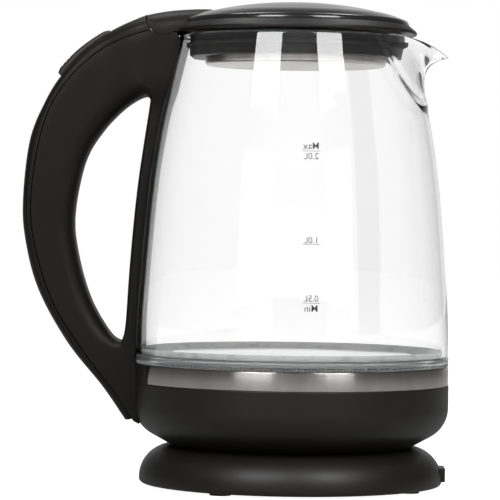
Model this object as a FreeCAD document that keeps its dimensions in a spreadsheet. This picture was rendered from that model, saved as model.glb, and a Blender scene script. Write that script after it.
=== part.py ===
# Electric kettle with a glass jug, on a round power base. Millimetres, +Z up, origin on the table
# under the middle of the base; the handle points along -X and the spout along +X.
import FreeCAD, Part
import math
import os
import Sketcher

Vector = FreeCAD.Vector
Rotation = FreeCAD.Rotation
Placement = FreeCAD.Placement
UP = Vector(0, 0, 1)
ORIGIN = Vector(0, 0, 0)

SIZES = {
    # power base
    "base_radius": 79.8, "base_height": 21.0, "base_edge_height": 1.2, "base_dome_radius": 17.0,
    "base_wall": 2.5, "base_plate_thickness": 2.0, "foot_radius": 5.5, "foot_sink": 1.2,
    "foot_circle": 70.5, "base_rim_round": 2.0, "base_well_radius": 30.0, "base_well_depth": 3.5,
    "post_radius": 15.0, "post_height": 12.0, "post_flange_radius": 22.0,
    "outlet_width": 18.0, "outlet_reach": 81.3, "outlet_top": 10.5, "cord_hole_radius": 3.3,
    "screw_radius": 1.5, "screw_head_radius": 2.8, "screw_head_height": 1.6,
    "screw_length": 9.0, "handle_screw_length": 12.0, "handle_screw_spread": 8.0,
    "handle_screw_height": 47.0, "boss_radius": 4.5,
    # connector between base and kettle
    "connector_radius": 27.0, "connector_height": 16.0, "connector_flange": 2.0,
    "lift_clearance": 0.5, "turn_clearance": 0.3, "pin_clearance": 0.05,
    # lower housing
    "housing_radius": 82.8, "housing_top": 63.6, "housing_wall": 2.5, "housing_arc_radius": 17.0,
    "housing_arc_height": 42.0, "housing_seat_radius": 63.2, "housing_slope_radius": 74.56,
    "housing_slope_height": 27.43, "bottom_cover_radius": 56.0, "bottom_cover_thickness": 2.4,
    "band_bottom": 54.0, "band_thickness": 0.8, "band_radius": 82.5,
    "collar_height": 5.4, "collar_inner_radius": 74.5, "collar_radius": 82.6,
    # heating
    "plate_thickness": 1.2, "plate_disc_radius": 63.0, "plate_disc_rise": 1.0,
    "element_circle": 40.0, "element_radius": 3.6, "control_width": 44.0, "control_depth": 34.0,
    # glass
    "glass_radius": 82.1, "glass_rim_radius": 61.3, "glass_height": 167.0, "glass_wall": 2.6,
    "spout_reach": 83.4, "spout_drop": 11.4,
    # lid
    "lid_radius": 63.7, "lid_rim_height": 5.0, "lid_rim_gap": 1.3, "lid_top_rise": 17.8,
    "lid_shoulder_radius": 45.4, "lid_shoulder_drop": 5.0, "lid_cover_radius": 59.6,
    "lid_wall": 2.0, "skirt_radius": 55.8, "skirt_depth": 11.6, "skirt_wall": 2.2,
    "seal_height": 2.5, "seal_clearance": 1.2, "lid_plate_radius": 47.5, "lid_plate_depth": 3.9,
    "hinge_reach": 69.0, "hinge_rise": 9.0, "hinge_pin_radius": 1.25, "hinge_ear_radius": 2.3,
    "hinge_ear_width": 4.6, "hinge_slot_width": 18.6, "hinge_ear_gap": 8.4, "knuckle_radius": 9.3, "arm_width": 38.0,
    "arm_front": 42.0,
    # handle
    "handle_reach": 66.0, "handle_foot": 33.0, "handle_rise": 13.8, "handle_width": 31.0,
    "handle_head_width": 40.0, "strap_thickness": 5.2, "glass_gap": 0.3, "channel_width": 18.0,
    "channel_depth": 8.0, "seam": 0.3, "rocker_width": 17.0, "rocker_rise": 1.5,
    "rocker_end_rise": 3.0, "rocker_thickness": 2.4, "rocker_pivot_depth": 4.5, "rocker_pin_radius": 1.0,
    "rocker_pin_length": 23.0, "lead_radius": 1.6, "lead_way_clearance": 0.8,
    "lead_bend": 8.0, "lid_pan_thickness": 0.8,
    "lid_edge_round": 45.0, "lid_dome_radius": 183.0, "lid_flat_radius": 3.0,
}

doc = FreeCAD.newDocument("kettle")
sheet = doc.addObject("Spreadsheet::Sheet", "Sizes")
for row, (alias, value) in enumerate(SIZES.items(), start=1):
    sheet.set(f"A{row}", alias)
    sheet.set(f"B{row}", str(value))
    sheet.setAlias(f"B{row}", alias)
doc.recompute()
NODES = []


def term(text):
    """A sum such as "base_height - base_wall" as (expression for a property, its value now)."""
    words, value, sign = [], 0.0, 1
    for word in str(text).split():
        if word in "+-":
            sign = -1 if word == "-" else 1
            words.append(word)
            continue
        number = float(word) if word[0].isdigit() else float(sheet.get(word))
        value += sign * number
        words.append(word if word[0].isdigit() else "Sizes." + word)
    return " ".join(words), value


def size(text):
    return term(text)[1]


def node(item):
    """Keeps a finished sub-part, whose Label names its file."""
    NODES.append(item)
    return item


def add_outline(body, name, plane, points):
    """A closed sketch through (across, up) points; a third entry is the radius of the arc that
    reaches the point, counterclockwise when it is positive."""
    sketch = body.newObject("Sketcher::SketchObject", name)
    sketch.AttachmentSupport = [(next(o for o in body.Origin.OriginFeatures if o.Role == plane), "")]
    sketch.MapMode = "FlatFace"
    corners = [(term(p[0]), term(p[1])) for p in points]
    flat = [Vector(across[1], up[1], 0) for across, up in corners]
    for i, start in enumerate(flat):
        step = points[(i + 1) % len(points)]
        end = flat[(i + 1) % len(flat)]
        if len(step) == 2:
            sketch.addGeometry(Part.LineSegment(start, end), False)
            continue
        radius = size(step[2])
        half = (end - start).Length / 2
        side = Vector(-(end - start).y, (end - start).x, 0).normalize()
        bulge = radius - math.sqrt(max(radius * radius - half * half, 0.0))
        middle = (start + end) / 2 - side * bulge * (1 if len(step) == 3 else -1)
        sketch.addGeometry(Part.Arc(start, middle, end), False)
    for i in range(len(flat)):
        after = (i + 1) % len(flat)
        begins, ends = arc_ends(sketch, i, flat[i]), arc_ends(sketch, i, flat[after])
        follows = arc_ends(sketch, after, flat[after])
        sketch.addConstraint(Sketcher.Constraint("Coincident", i, ends, after, follows))
        for kind, (expression, value) in zip(("DistanceX", "DistanceY"), corners[i]):
            index = sketch.addConstraint(Sketcher.Constraint(kind, -1, 1, i, begins, value))
            sketch.setExpression(f"Constraints[{index}]", expression)
        if len(points[after]) > 2:
            expression, value = term(points[after][2])
            index = sketch.addConstraint(Sketcher.Constraint("Radius", i, value))
            sketch.setExpression(f"Constraints[{index}]", expression)
    return sketch


def arc_ends(sketch, index, point):
    """Which end of a sketch edge, 1 or 2, lies at the point."""
    return 1 if (sketch.getPoint(index, 1) - point).Length < (sketch.getPoint(index, 2) - point).Length else 2


def turned(label, points):
    """A PartDesign body turned about Z from an outline of (radius, height) points."""
    body = doc.addObject("PartDesign::Body", label)
    sketch = add_outline(body, label + "_outline", "XZ_Plane", points)
    turn = body.newObject("PartDesign::Revolution", label + "_turn")
    turn.Profile = sketch
    turn.ReferenceAxis = (sketch, ["V_Axis"])
    turn.Angle = 360
    return body


def rod(label, radius, length, at, direction=UP):
    """A Part cylinder whose radius and length follow the sheet, from a point along a direction."""
    item = doc.addObject("Part::Cylinder", label)
    item.setExpression("Radius", term(radius)[0])
    item.setExpression("Height", term(length)[0])
    item.Placement = Placement(Vector(*at), Rotation(UP, direction))
    return item


def block(label, length, width, height, at):
    """A Part box centred on its point across X and Y, standing on it."""
    item = doc.addObject("Part::Box", label)
    for name, text in zip(("Length", "Width", "Height"), (length, width, height)):
        item.setExpression(name, term(text)[0])
    item.Placement = Placement(Vector(at[0] - size(length) / 2, at[1] - size(width) / 2, at[2]), Rotation())
    return item


def joined(label, *items):
    item = doc.addObject("Part::MultiFuse", label)
    item.Shapes = list(items)
    return item


def cut(label, base, *tools):
    """base less every tool."""
    item = doc.addObject("Part::Cut", label)
    item.Base = base
    item.Tool = tools[0] if len(tools) == 1 else joined(label + "_tools", *tools)
    return item


def group(label, items):
    item = doc.addObject("Part::Compound", label)
    item.Links = list(items)
    return item


def shaped(label, shape, placement=Placement()):
    """A Part::Feature for a shape worked out from the sheet in this file."""
    item = doc.addObject("Part::Feature", label)
    item.Shape = shape
    item.Placement = placement
    return item


def round_the_axis(count, radius, first=0.0):
    """Points spread evenly on a circle about Z."""
    angles = [math.radians(first + 360 * i / count) for i in range(count)]
    return [(radius * math.cos(a), radius * math.sin(a)) for a in angles]


def at_height(points, height):
    return [(x, y, height) for x, y in points]


def screws(label, points, length, inward=UP):
    """Pan-head screws, one at each point, which is the middle of its head's outer face."""
    made = []
    for i, at in enumerate(points):
        head = rod(f"{label}_head_{i}", "screw_head_radius", "screw_head_height", at, inward)
        shank = rod(f"{label}_shank_{i}", "screw_radius", length, at, inward)
        made.append(joined(f"{label}_{i}", head, shank))
    return group(label, made)


def counterbores(label, points, bottom):
    """Tools that cut a hole with a recess for a screw's head at each (x, y)."""
    tools = []
    for i, (x, y) in enumerate(points):
        tools.append(rod(f"{label}_recess_{i}", "screw_head_radius + 0.2", "screw_head_height", (x, y, bottom)))
        tools.append(rod(f"{label}_through_{i}", "screw_radius", 9, (x, y, bottom)))
    return tools


# ---- power base ---------------------------------------------------------------------------------
boss_points = round_the_axis(3, size("base_radius") * 0.62, 30)
plate_top = size("base_edge_height") + size("base_plate_thickness")
roof = size("base_height") - size("base_wall")

cover_shell = turned("base_cover_shell", [
    ("base_radius - base_wall", "base_edge_height"),
    ("base_radius - base_rim_round", "base_edge_height"),
    ("base_radius", "base_edge_height + base_rim_round", "base_rim_round"),
    ("base_radius - base_dome_radius", "base_height", "base_dome_radius"),
    ("base_well_radius", "base_height"),
    ("base_well_radius - 1", "base_height - base_well_depth"),
    ("post_radius + 3", "base_height - base_well_depth"),
    ("post_radius + 3", "base_height - base_well_depth - base_wall"),
    ("base_well_radius + 1", "base_height - base_well_depth - base_wall"),
    ("base_well_radius + 2", "base_height - base_wall"),
    ("base_radius - base_dome_radius", "base_height - base_wall"),
    ("base_radius - base_wall", "base_height - base_dome_radius", "base_dome_radius - base_wall", "in"),
])
bosses = [
    rod(f"base_boss_{i}", "boss_radius", roof - plate_top, (x, y, plate_top))
    for i, (x, y) in enumerate(boss_points)
]
outlet_inner = size("base_radius") - 2 * size("base_wall")
outlet_length = size("outlet_reach") - outlet_inner
outlet_middle = (size("outlet_reach") + outlet_inner) / 2
outlet_bottom = size("base_edge_height") + size("base_plate_thickness")
outlet_slot = block("base_outlet_slot", outlet_length + 4, "outlet_width", size("outlet_top") - outlet_bottom,
                    (outlet_middle, 0, outlet_bottom))
pilot_holes = [
    rod(f"base_pilot_{i}", "screw_radius", 8, (x, y, plate_top)) for i, (x, y) in enumerate(boss_points)
]
base_solid = joined("base_cover_solid", cover_shell, *bosses)
node(cut("base_cover", base_solid, outlet_slot, *pilot_holes))

outlet_block = block("outlet_block", outlet_length, "outlet_width", size("outlet_top") - outlet_bottom,
                     (outlet_middle, 0, outlet_bottom))
outlet_round = doc.addObject("Part::Fillet", "outlet_rounded")
doc.recompute()
outlet_round.Base = outlet_block
outer_edges = [
    i for i, edge in enumerate(outlet_block.Shape.Edges, start=1)
    if edge.BoundBox.XMin > size("outlet_reach") - 0.01
]
outlet_round.Edges = [(i, 1.2, 1.2) for i in outer_edges]
cord_hole = rod("cord_hole", "cord_hole_radius", outlet_length + 4,
                (outlet_inner - 2, 0, (outlet_bottom + size("outlet_top")) / 2), Vector(1, 0, 0))
node(cut("cord_outlet", outlet_round, cord_hole))

foot_points = round_the_axis(4, size("foot_circle"), -120)
foot_pockets = [
    rod(f"foot_pocket_{i}", "foot_radius", "foot_sink", (x, y, size("base_edge_height")))
    for i, (x, y) in enumerate(foot_points)
]
plate_disc = rod("base_plate_disc", "base_radius - base_wall - 0.2", "base_plate_thickness",
                 (0, 0, size("base_edge_height")))
plate_holes = counterbores("base_plate", boss_points, size("base_edge_height"))
node(cut("base_bottom_plate", plate_disc, *foot_pockets, *plate_holes))
node(group("base_feet", [
    rod(f"foot_{i}", "foot_radius", "base_edge_height + foot_sink", (x, y, 0))
    for i, (x, y) in enumerate(foot_points)
]))
node(screws("base_screws", at_height(boss_points, size("base_edge_height")), "screw_length"))

# central post of the base: an outer and an inner ring contact and a middle pin
node(turned("base_connector", [
    ("post_radius - 3", f"{plate_top} + 2"),
    ("post_flange_radius", f"{plate_top} + 2"),
    ("post_flange_radius", "base_height - base_well_depth - base_wall"),
    ("post_radius", "base_height - base_well_depth - base_wall"),
    ("post_radius", "base_height + post_height - 1.5"),
    ("post_radius - 1.5", "base_height + post_height", "1.5"),
    ("post_radius - 3.5", "base_height + post_height"),
    ("post_radius - 3.5", "base_height + 2"),
    ("post_radius - 5.5", "base_height + 2"),
    ("post_radius - 5.5", "base_height + post_height"),
    ("post_radius - 8", "base_height + post_height"),
    ("post_radius - 8", "base_height + 2"),
    ("3", "base_height + 2"),
    ("3", "base_height - 5"),
    ("post_radius - 3", "base_height - 5"),
]))
contact_pin = rod("contact_pin", 2.4, 15.0, (0, 0, size("base_height") - 4))
contact_foot = rod("contact_foot", 3.0, 7.0, (0, 0, size("base_height") - 5))


def contact_ring(label, inner, outer, bottom, height):
    return cut(label, rod(label + "_outer", outer, height, (0, 0, bottom)),
               rod(label + "_inner", inner, height, (0, 0, bottom)))


node(group("base_contacts", [
    joined("contact_centre", contact_pin, contact_foot),
    contact_ring("contact_base_ring", "post_radius - 5.5", "post_radius - 4.9", size("base_height") + 2,
                 size("post_height") - 3),
    contact_ring("contact_neutral_ring", "post_radius - 8.6", "post_radius - 8", size("base_height") + 2,
                 size("post_height") - 3),
]))

# ---- round connector under the kettle ------------------------------------------------------------
seat = size("base_height")
node(turned("kettle_connector", [
    ("post_radius + lift_clearance", "base_height + 0.6"),
    ("connector_radius - 2.5", "base_height + 0.6"),
    ("connector_radius - 2.5", "base_height + bottom_cover_thickness + 0.9"),
    ("connector_radius", "base_height + bottom_cover_thickness + 0.9"),
    ("connector_radius", "base_height + bottom_cover_thickness + 0.9 + connector_flange"),
    ("post_radius + 3", "base_height + bottom_cover_thickness + 0.9 + connector_flange"),
    ("post_radius + 3", "base_height + connector_height"),
    ("0", "base_height + connector_height"),
    ("0", "base_height + connector_height - 1.5"),
    ("post_radius + lift_clearance", "base_height + connector_height - 1.5"),
]))
connector_roof = seat + size("connector_height") - 1.5
node(group("connector_contacts", [
    contact_ring("contact_outer_leaf", "post_radius - 4.6", "post_radius - 4.0", connector_roof - 9, 9.0),
    contact_ring("contact_inner_leaf", "post_radius - 9.6", "post_radius - 9", connector_roof - 9, 9.0),
]))

# ---- lower housing, its cover and the trim rings --------------------------------------------------
housing_shell = turned("lower_housing_shell", [
    ("bottom_cover_radius + 0.2", "base_height"),
    ("housing_seat_radius", "base_height"),
    ("housing_slope_radius", "housing_slope_height"),
    ("housing_radius", "housing_arc_height", "housing_arc_radius"),
    ("housing_radius", "band_bottom"),
    ("band_radius - band_thickness", "band_bottom"),
    ("band_radius - band_thickness", "housing_top"),
    ("band_radius - band_thickness - housing_wall", "housing_top"),
    ("band_radius - band_thickness - housing_wall", "housing_arc_height"),
    ("housing_slope_radius - 1.5", "housing_slope_height + housing_wall", "housing_arc_radius - housing_wall",
     "in"),
    ("housing_seat_radius", "base_height + bottom_cover_thickness + housing_wall"),
    ("bottom_cover_radius - 7", "base_height + bottom_cover_thickness + housing_wall"),
    ("bottom_cover_radius - 7", "base_height + bottom_cover_thickness"),
    ("bottom_cover_radius + 0.2", "base_height + bottom_cover_thickness"),
])
cover_points = round_the_axis(3, size("bottom_cover_radius") - 3.8, 90)
housing_bosses = [
    rod(f"housing_boss_{i}", "boss_radius", 8, (x, y, seat + size("bottom_cover_thickness") + 1))
    for i, (x, y) in enumerate(cover_points)
]
housing_pilots = [
    rod(f"housing_pilot_{i}", "screw_radius", 9, (x, y, seat)) for i, (x, y) in enumerate(cover_points)
]
housing_inner = size("band_radius") - size("band_thickness") - size("housing_wall")
outside_in = Vector(-1, 0, 0)
handle_screw_points = [
    (-(housing_inner - size("screw_head_height") - 0.8), flank * size("handle_screw_spread"),
     size("handle_screw_height"))
    for flank in (1, -1)
]
for i, at in enumerate(handle_screw_points):
    housing_pilots.append(rod(f"handle_screw_way_{i}", "screw_radius", "handle_screw_length", at, outside_in))
# the switch's lead comes through the wall just under the steel band
lead_inside = Vector(-72, 0, 40)
lead_outside = Vector(-103, 0, 69.5)
lead_way = rod("housing_lead_way", "lead_radius + lead_way_clearance", (lead_outside - lead_inside).Length, lead_inside,
               lead_outside - lead_inside)
housing_solid = joined("lower_housing_solid", housing_shell, *housing_bosses)
node(cut("lower_housing", housing_solid, *housing_pilots, lead_way))
node(screws("handle_screws", handle_screw_points, "handle_screw_length", outside_in))
bottom_disc = turned("bottom_cover_disc", [
    ("connector_radius - 2.5 + turn_clearance", "base_height"),
    ("bottom_cover_radius", "base_height"),
    ("bottom_cover_radius", "base_height + bottom_cover_thickness"),
    ("connector_radius + turn_clearance + 2", "base_height + bottom_cover_thickness"),
    ("connector_radius + turn_clearance + 2", "base_height + bottom_cover_thickness + 0.9 + connector_flange"),
    ("connector_radius + turn_clearance", "base_height + bottom_cover_thickness + 0.9 + connector_flange"),
    ("connector_radius + turn_clearance", "base_height + bottom_cover_thickness + 0.6"),
    ("connector_radius - 2.5 + turn_clearance", "base_height + bottom_cover_thickness + 0.6"),
])
node(cut("bottom_cover", bottom_disc, *counterbores("bottom_cover", cover_points, seat)))
node(screws("bottom_cover_screws", at_height(cover_points, seat), "screw_length"))

node(turned("steel_band", [
    ("band_radius - band_thickness", "band_bottom"),
    ("band_radius", "band_bottom"),
    ("band_radius", "housing_top"),
    ("band_radius - band_thickness", "housing_top"),
]))
node(turned("clear_collar", [
    ("collar_inner_radius - 3", "housing_top"),
    ("collar_radius", "housing_top"),
    ("collar_radius", "housing_top + collar_height - 1"),
    ("collar_radius - 1", "housing_top + collar_height", "1"),
    ("collar_inner_radius", "housing_top + collar_height"),
    ("collar_inner_radius", "housing_top + collar_height - plate_thickness"),
    ("collar_inner_radius - 3", "housing_top + collar_height - plate_thickness"),
]))

# ---- heating plate and what is under it ----------------------------------------------------------
glass_foot = size("housing_top") + size("collar_height")
node(turned("heating_plate", [
    ("0", "housing_top + collar_height - plate_thickness + plate_disc_rise"),
    ("plate_disc_radius - 1", "housing_top + collar_height - plate_thickness + plate_disc_rise"),
    ("plate_disc_radius", "housing_top + collar_height - plate_thickness"),
    ("collar_inner_radius", "housing_top + collar_height - plate_thickness"),
    ("collar_inner_radius", "housing_top + collar_height"),
    ("plate_disc_radius + 1", "housing_top + collar_height"),
    ("plate_disc_radius", "housing_top + collar_height + plate_disc_rise"),
    ("0", "housing_top + collar_height + plate_disc_rise"),
]))
node(turned("glass_seal", [
    ("collar_inner_radius - 2", "housing_top + collar_height"),
    ("glass_radius - glass_wall - glass_gap", "housing_top + collar_height"),
    ("glass_radius - glass_wall - glass_gap", "housing_top + collar_height + 3"),
    ("glass_radius - glass_wall - glass_gap - 1", "housing_top + collar_height + 2"),
]))
plate_under = glass_foot - size("plate_thickness") + size("plate_disc_rise")
spreader_thickness = 2.0
node(rod("heat_spreader", "element_circle + 12", spreader_thickness, (0, 0, plate_under - spreader_thickness)))
element_height = plate_under - spreader_thickness - size("element_radius") - 0.1
element = doc.addObject("Part::Torus", "heating_element")
element.setExpression("Radius1", "Sizes.element_circle")
element.setExpression("Radius2", "Sizes.element_radius")
element.Angle3 = 300
element.Placement = Placement(Vector(0, 0, element_height), Rotation(UP, 30))
node(element)
terminal_points = [
    (size("element_circle") * math.cos(math.radians(a)), size("element_circle") * math.sin(math.radians(a)))
    for a in (36, 324)
]
terminal_length = 12.0
node(group("element_terminals", [
    rod(f"terminal_{i}", 1.8, terminal_length, (x, y, element_height - size("element_radius") - terminal_length))
    for i, (x, y) in enumerate(terminal_points)
]))
control_bottom = seat + size("connector_height") + 0.6
control_top = control_bottom + 17.0
node(block("control_unit", "control_width", "control_depth", control_top - control_bottom, (0, 0, control_bottom)))
stud_points = round_the_axis(3, 14.0, 90)
node(group("control_studs", [
    rod(f"control_stud_{i}", 2.0, plate_under - spreader_thickness - control_top, (x, y, control_top))
    for i, (x, y) in enumerate(stud_points)
]))
node(rod("bimetal_disc", 9.5, 0.6, (0, 0, control_top)))

# ---- glass jug ------------------------------------------------------------------------------------
# share of the height, and share of the taper that is left there
GLASS_SWELL = ((0.0, 1.0), (0.15, 0.985), (0.40, 0.83), (0.61, 0.66), (0.79, 0.385), (0.90, 0.195), (1.0, 0.0))
glass_top = glass_foot + size("glass_height")


def glass_radius_at(height):
    """Outer radius of the glass; the housing's below it, and the rim's above it."""
    if height < glass_foot:
        return size("housing_radius")
    share = min((height - glass_foot) / size("glass_height"), 1.0)
    for (low, wide), (high, narrow) in zip(GLASS_SWELL, GLASS_SWELL[1:]):
        if share <= high:
            left = wide + (narrow - wide) * (share - low) / (high - low)
            break
    return size("glass_rim_radius") + (size("glass_radius") - size("glass_rim_radius")) * left


def spline(points):
    curve = Part.BSplineCurve()
    curve.interpolate([Vector(*p) for p in points])
    return curve.toShape()


def path(*points):
    return [Part.LineSegment(Vector(*a), Vector(*b)).toShape() for a, b in zip(points, points[1:])]


def upright_face(*edges):
    return Part.Face(Part.Wire(Part.__sortEdges__(list(edges))))


def glass_solid(inset, foot, top):
    """Everything within the glass's outer surface less an inset."""
    curve = [
        (size("glass_rim_radius") + (size("glass_radius") - size("glass_rim_radius")) * wide - inset, 0,
         glass_foot + high * size("glass_height"))
        for high, wide in GLASS_SWELL
    ]
    foot_line = path((curve[0][0], 0, glass_foot), (curve[0][0], 0, foot)) if foot < glass_foot else []
    top_line = path(curve[-1], (curve[-1][0], 0, top)) if top > glass_top else []
    closing = path((curve[-1][0], 0, top), (0, 0, top), (0, 0, foot), (curve[0][0], 0, foot))
    face = upright_face(spline(curve), *foot_line, *top_line, *closing)
    return face.revolve(ORIGIN, UP, 360)


# spout: height below the rim, how far out its nose is from the reach, and half its spread
SPOUT_LEVELS = (
    (35.5, 13.0, 1.5), (28.0, 14.0, 8.0), (19.0, 14.6, 16.0), (16.0, 11.5, 19.0), (13.8, 7.0, 21.0),
    (12.6, 2.8, 22.5), (10.8, 0.1, 24.0), (0.0, 0.0, 33.0), (-4.0, 0.0, 35.0),
)
SPOUT_NOSE = 3.2


def spout_solid(inset, lift):
    """The wedge that the spout is pressed from, set in and lifted to leave the glass between two."""
    wires = []
    for drop, short, spread in SPOUT_LEVELS:
        height = glass_top - drop + lift
        front = size("spout_reach") - short - inset
        nose = SPOUT_NOSE - inset / 2
        wall = glass_radius_at(height) - inset - 0.2
        angle = math.radians(spread)
        crease = Vector(wall * math.cos(angle), wall * math.sin(angle), height)
        middle = Vector(front - nose, 0, height)
        to_crease = math.atan2(crease.y, crease.x - middle.x)
        turn = to_crease - math.acos(min(nose / (crease - middle).Length, 1.0))
        touch = middle + Vector(math.cos(turn), math.sin(turn), 0) * nose
        back = Vector(size("glass_rim_radius") * 0.6, 2.0, height)
        near = [Vector(p.x, -p.y, p.z) for p in (touch, crease, back)]
        edges = path(*near, back, crease, touch)
        edges.append(Part.Arc(touch, Vector(front, 0, height), near[0]).toShape())
        wires.append(Part.Wire(edges))
    return Part.makeLoft(wires, True, True)


reach = size("spout_reach")
lip_low = glass_top - size("spout_drop")
lip = [(reach + 2, -60, lip_low - 1), (reach - 0.8, -60, lip_low + 1.6), (reach - 5, -60, glass_top - 4.6),
       (reach - 13, -60, glass_top + 0.2), (size("glass_rim_radius") - 3, -60, glass_top + 0.3)]
lip_tools = upright_face(
    spline(lip), *path(lip[-1], (lip[-1][0], -60, glass_top + 30), (lip[0][0], -60, glass_top + 30), lip[0])
)
above_rim = Part.makeBox(300, 300, 30, Vector(-150, -150, glass_top))
above_lip = lip_tools.extrude(Vector(0, 120, 0)).fuse(above_rim)
wall = size("glass_wall")
spout_outside = spout_solid(0.0, 0.0).cut(above_lip)
jug_outside = glass_solid(0.0, glass_foot, glass_top).fuse(spout_outside)
jug_inside = glass_solid(wall, glass_foot - 5, glass_top + 6).fuse(spout_solid(wall * 0.7, wall * 0.8))
node(shaped("glass_body", jug_outside.cut(jug_inside)))

# ---- handle ---------------------------------------------------------------------------------------
# each point is (distance out from the jug at that height, share of the way from foot to top)
HANDLE_BACK = (
    (20.7, 0.979), (36.6, 0.944), (48.6, 0.896), (56.9, 0.838), (62.2, 0.776), (66.5, 0.680), (65.9, 0.537),
    (62.3, 0.436), (53.1, 0.317), (36.5, 0.189), (17.1, 0.085), (4.6, 0.004),
)
HANDLE_PARTING = (
    (17.8, 0.940), (37.5, 0.900), (52.9, 0.818), (60.1, 0.712), (60.8, 0.548), (56.5, 0.431), (43.7, 0.285),
    (24.6, 0.158), (8.7, 0.065), (0.4, 0.007),
)
FINGER_GAP = (
    (6.4, 0.780), (10.7, 0.788), (19.6, 0.7585), (29.0, 0.700), (35.3, 0.625), (37.7, 0.500), (34.1, 0.4065),
    (25.3, 0.298), (13.9, 0.212), (7.4, 0.190),
)
handle_top = glass_top + size("handle_rise")
reach_scale = size("handle_reach") / max(out for out, share in HANDLE_BACK)


def handle_point(out, share):
    height = size("handle_foot") + share * (handle_top - size("handle_foot"))
    return (-(glass_radius_at(height) + out * reach_scale), 0, height)


def jug_clearance():
    """The jug and housing with the gap that the handle keeps from them."""
    gap = size("glass_gap")
    radius = size("housing_radius")
    arc_middle = size("housing_arc_height")
    arc = Part.Arc(
        Vector(radius, 0, arc_middle),
        Vector(radius - size("housing_arc_radius") * (1 - math.cos(math.radians(30))), 0,
               arc_middle - size("housing_arc_radius") * math.sin(math.radians(30))),
        Vector(size("housing_slope_radius"), 0, size("housing_slope_height")),
    ).toShape()
    edges = path((radius, 0, arc_middle), (radius, 0, glass_foot), (0, 0, glass_foot), (0, 0, seat),
                 (size("housing_seat_radius"), 0, seat),
                 (size("housing_slope_radius"), 0, size("housing_slope_height")))
    housing = upright_face(arc, *edges).revolve(ORIGIN, UP, 360)
    jug = glass_solid(-gap, glass_foot, glass_top + 40)
    return housing.fuse(jug)


hinge = Vector(-size("hinge_reach"), 0, glass_top + size("hinge_rise"))
half_head = size("handle_head_width") / 2
half_grip = size("handle_width") / 2
parting = [handle_point(*p) for p in HANDLE_PARTING]
back = [handle_point(*p) for p in HANDLE_BACK]
head_level = parting[0][2]
inside = -size("glass_rim_radius") + 6
around_jug = jug_clearance()


def across(radius, half_width, at=hinge):
    """A cylinder along Y, centred on the middle plane."""
    start = Vector(at.x, -half_width, at.z)
    return Part.makeCylinder(radius, 2 * half_width, start, Vector(0, 1, 0))


def wide_plan(half_width, half_narrow):
    """Plan of the handle: wide at the jug, narrow at the grip."""
    rim = size("glass_rim_radius")
    far = back[6][0] - 20
    outline = path((far, half_narrow, 0), (-rim - 42, half_narrow, 0), (-rim - 18, half_width, 0),
                   (0, half_width, 0), (0, -half_width, 0), (-rim - 18, -half_width, 0),
                   (-rim - 42, -half_narrow, 0), (far, -half_narrow, 0), (far, half_narrow, 0))
    return Part.Face(Part.Wire(outline)).extrude(Vector(0, 0, 400))


foot_corner = handle_point(-4.0, -0.005)
body_line = [spline(parting), *path(parting[-1], foot_corner, (inside, 0, foot_corner[2]),
                                    (inside, 0, head_level), parting[0])]
strap_line = [handle_point(size("strap_thickness") / reach_scale, share) for share in (0.205, 0.38, 0.57, 0.765)]
gap_back = spline([handle_point(*p) for p in FINGER_GAP])
gap_points = [handle_point(*p) for p in FINGER_GAP]
gap_front = spline([gap_points[-1], *strap_line, gap_points[0]])
finger_gap = upright_face(gap_back, gap_front)
handle_side = upright_face(*body_line).cut(finger_gap)
handle_plan = wide_plan(half_head, half_grip)
handle_blank = handle_side.extrude(Vector(0, 2 * half_head, 0)).translate(Vector(0, -half_head, 0))
handle_blank = handle_blank.common(handle_plan)

# the strap and the foot are as narrow as the grip
narrow_top = gap_points[0][2] - 4
shoulder = [
    Part.makeBox(400, half_head, narrow_top, Vector(-300, half_grip if flank > 0 else -half_grip - half_head, 0))
    for flank in (1, -1)
]
socket = across(size("knuckle_radius") + size("seam"), half_head)
# which way the channel is sunk at each point of the parting line: towards the jug, and down
CHANNEL_INWARD = ((0.35, 0.95), (0.75, 0.65), (0.97, 0.25), (1, 0), (0.97, -0.2), (0.88, -0.45), (0.8, -0.6))


def sunk_line(depth):
    """The parting line's middle stretch, sunk into the handle, or standing out of it below zero."""
    return [(x + depth * c, 0, z - depth * d) for (x, y, z), (c, d) in zip(parting[1:8], CHANNEL_INWARD)]


channel_mouth, channel_floor = sunk_line(-3.0), sunk_line(size("channel_depth"))
channel_face = upright_face(spline(channel_mouth), spline(channel_floor), *path(channel_mouth[0], channel_floor[0]),
                            *path(channel_mouth[-1], channel_floor[-1]))
half_channel = size("channel_width") / 2
channel = channel_face.extrude(Vector(0, 2 * half_channel, 0)).translate(Vector(0, -half_channel, 0))

ears = []
for flank in (1, -1):
    inner = flank * size("hinge_ear_gap") / 2 - (size("hinge_ear_width") if flank < 0 else 0)
    ear_radius = size("hinge_ear_radius")
    top = Part.makeCylinder(ear_radius, size("hinge_ear_width"), Vector(hinge.x, inner, hinge.z), Vector(0, 1, 0))
    leg = Part.makeBox(2 * ear_radius, size("hinge_ear_width"), hinge.z - head_level + 4,
                       Vector(hinge.x - ear_radius, inner, head_level - 4))
    ears.append(top.fuse(leg))
bores = [across(size("hinge_pin_radius"), half_head)]
for at in handle_screw_points:
    bores.append(Part.makeCylinder(size("screw_radius"), size("handle_screw_length"), Vector(*at), outside_in))
lead_direction = lead_outside - lead_inside
bores.append(Part.makeCylinder(size("lead_radius + lead_way_clearance"), lead_direction.Length + 3, lead_inside,
                               lead_direction))
handle_body = handle_blank.cut([*shoulder, around_jug, socket, channel]).fuse(ears).cut(bores)
node(shaped("handle_body", handle_body.removeSplitter()))

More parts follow.
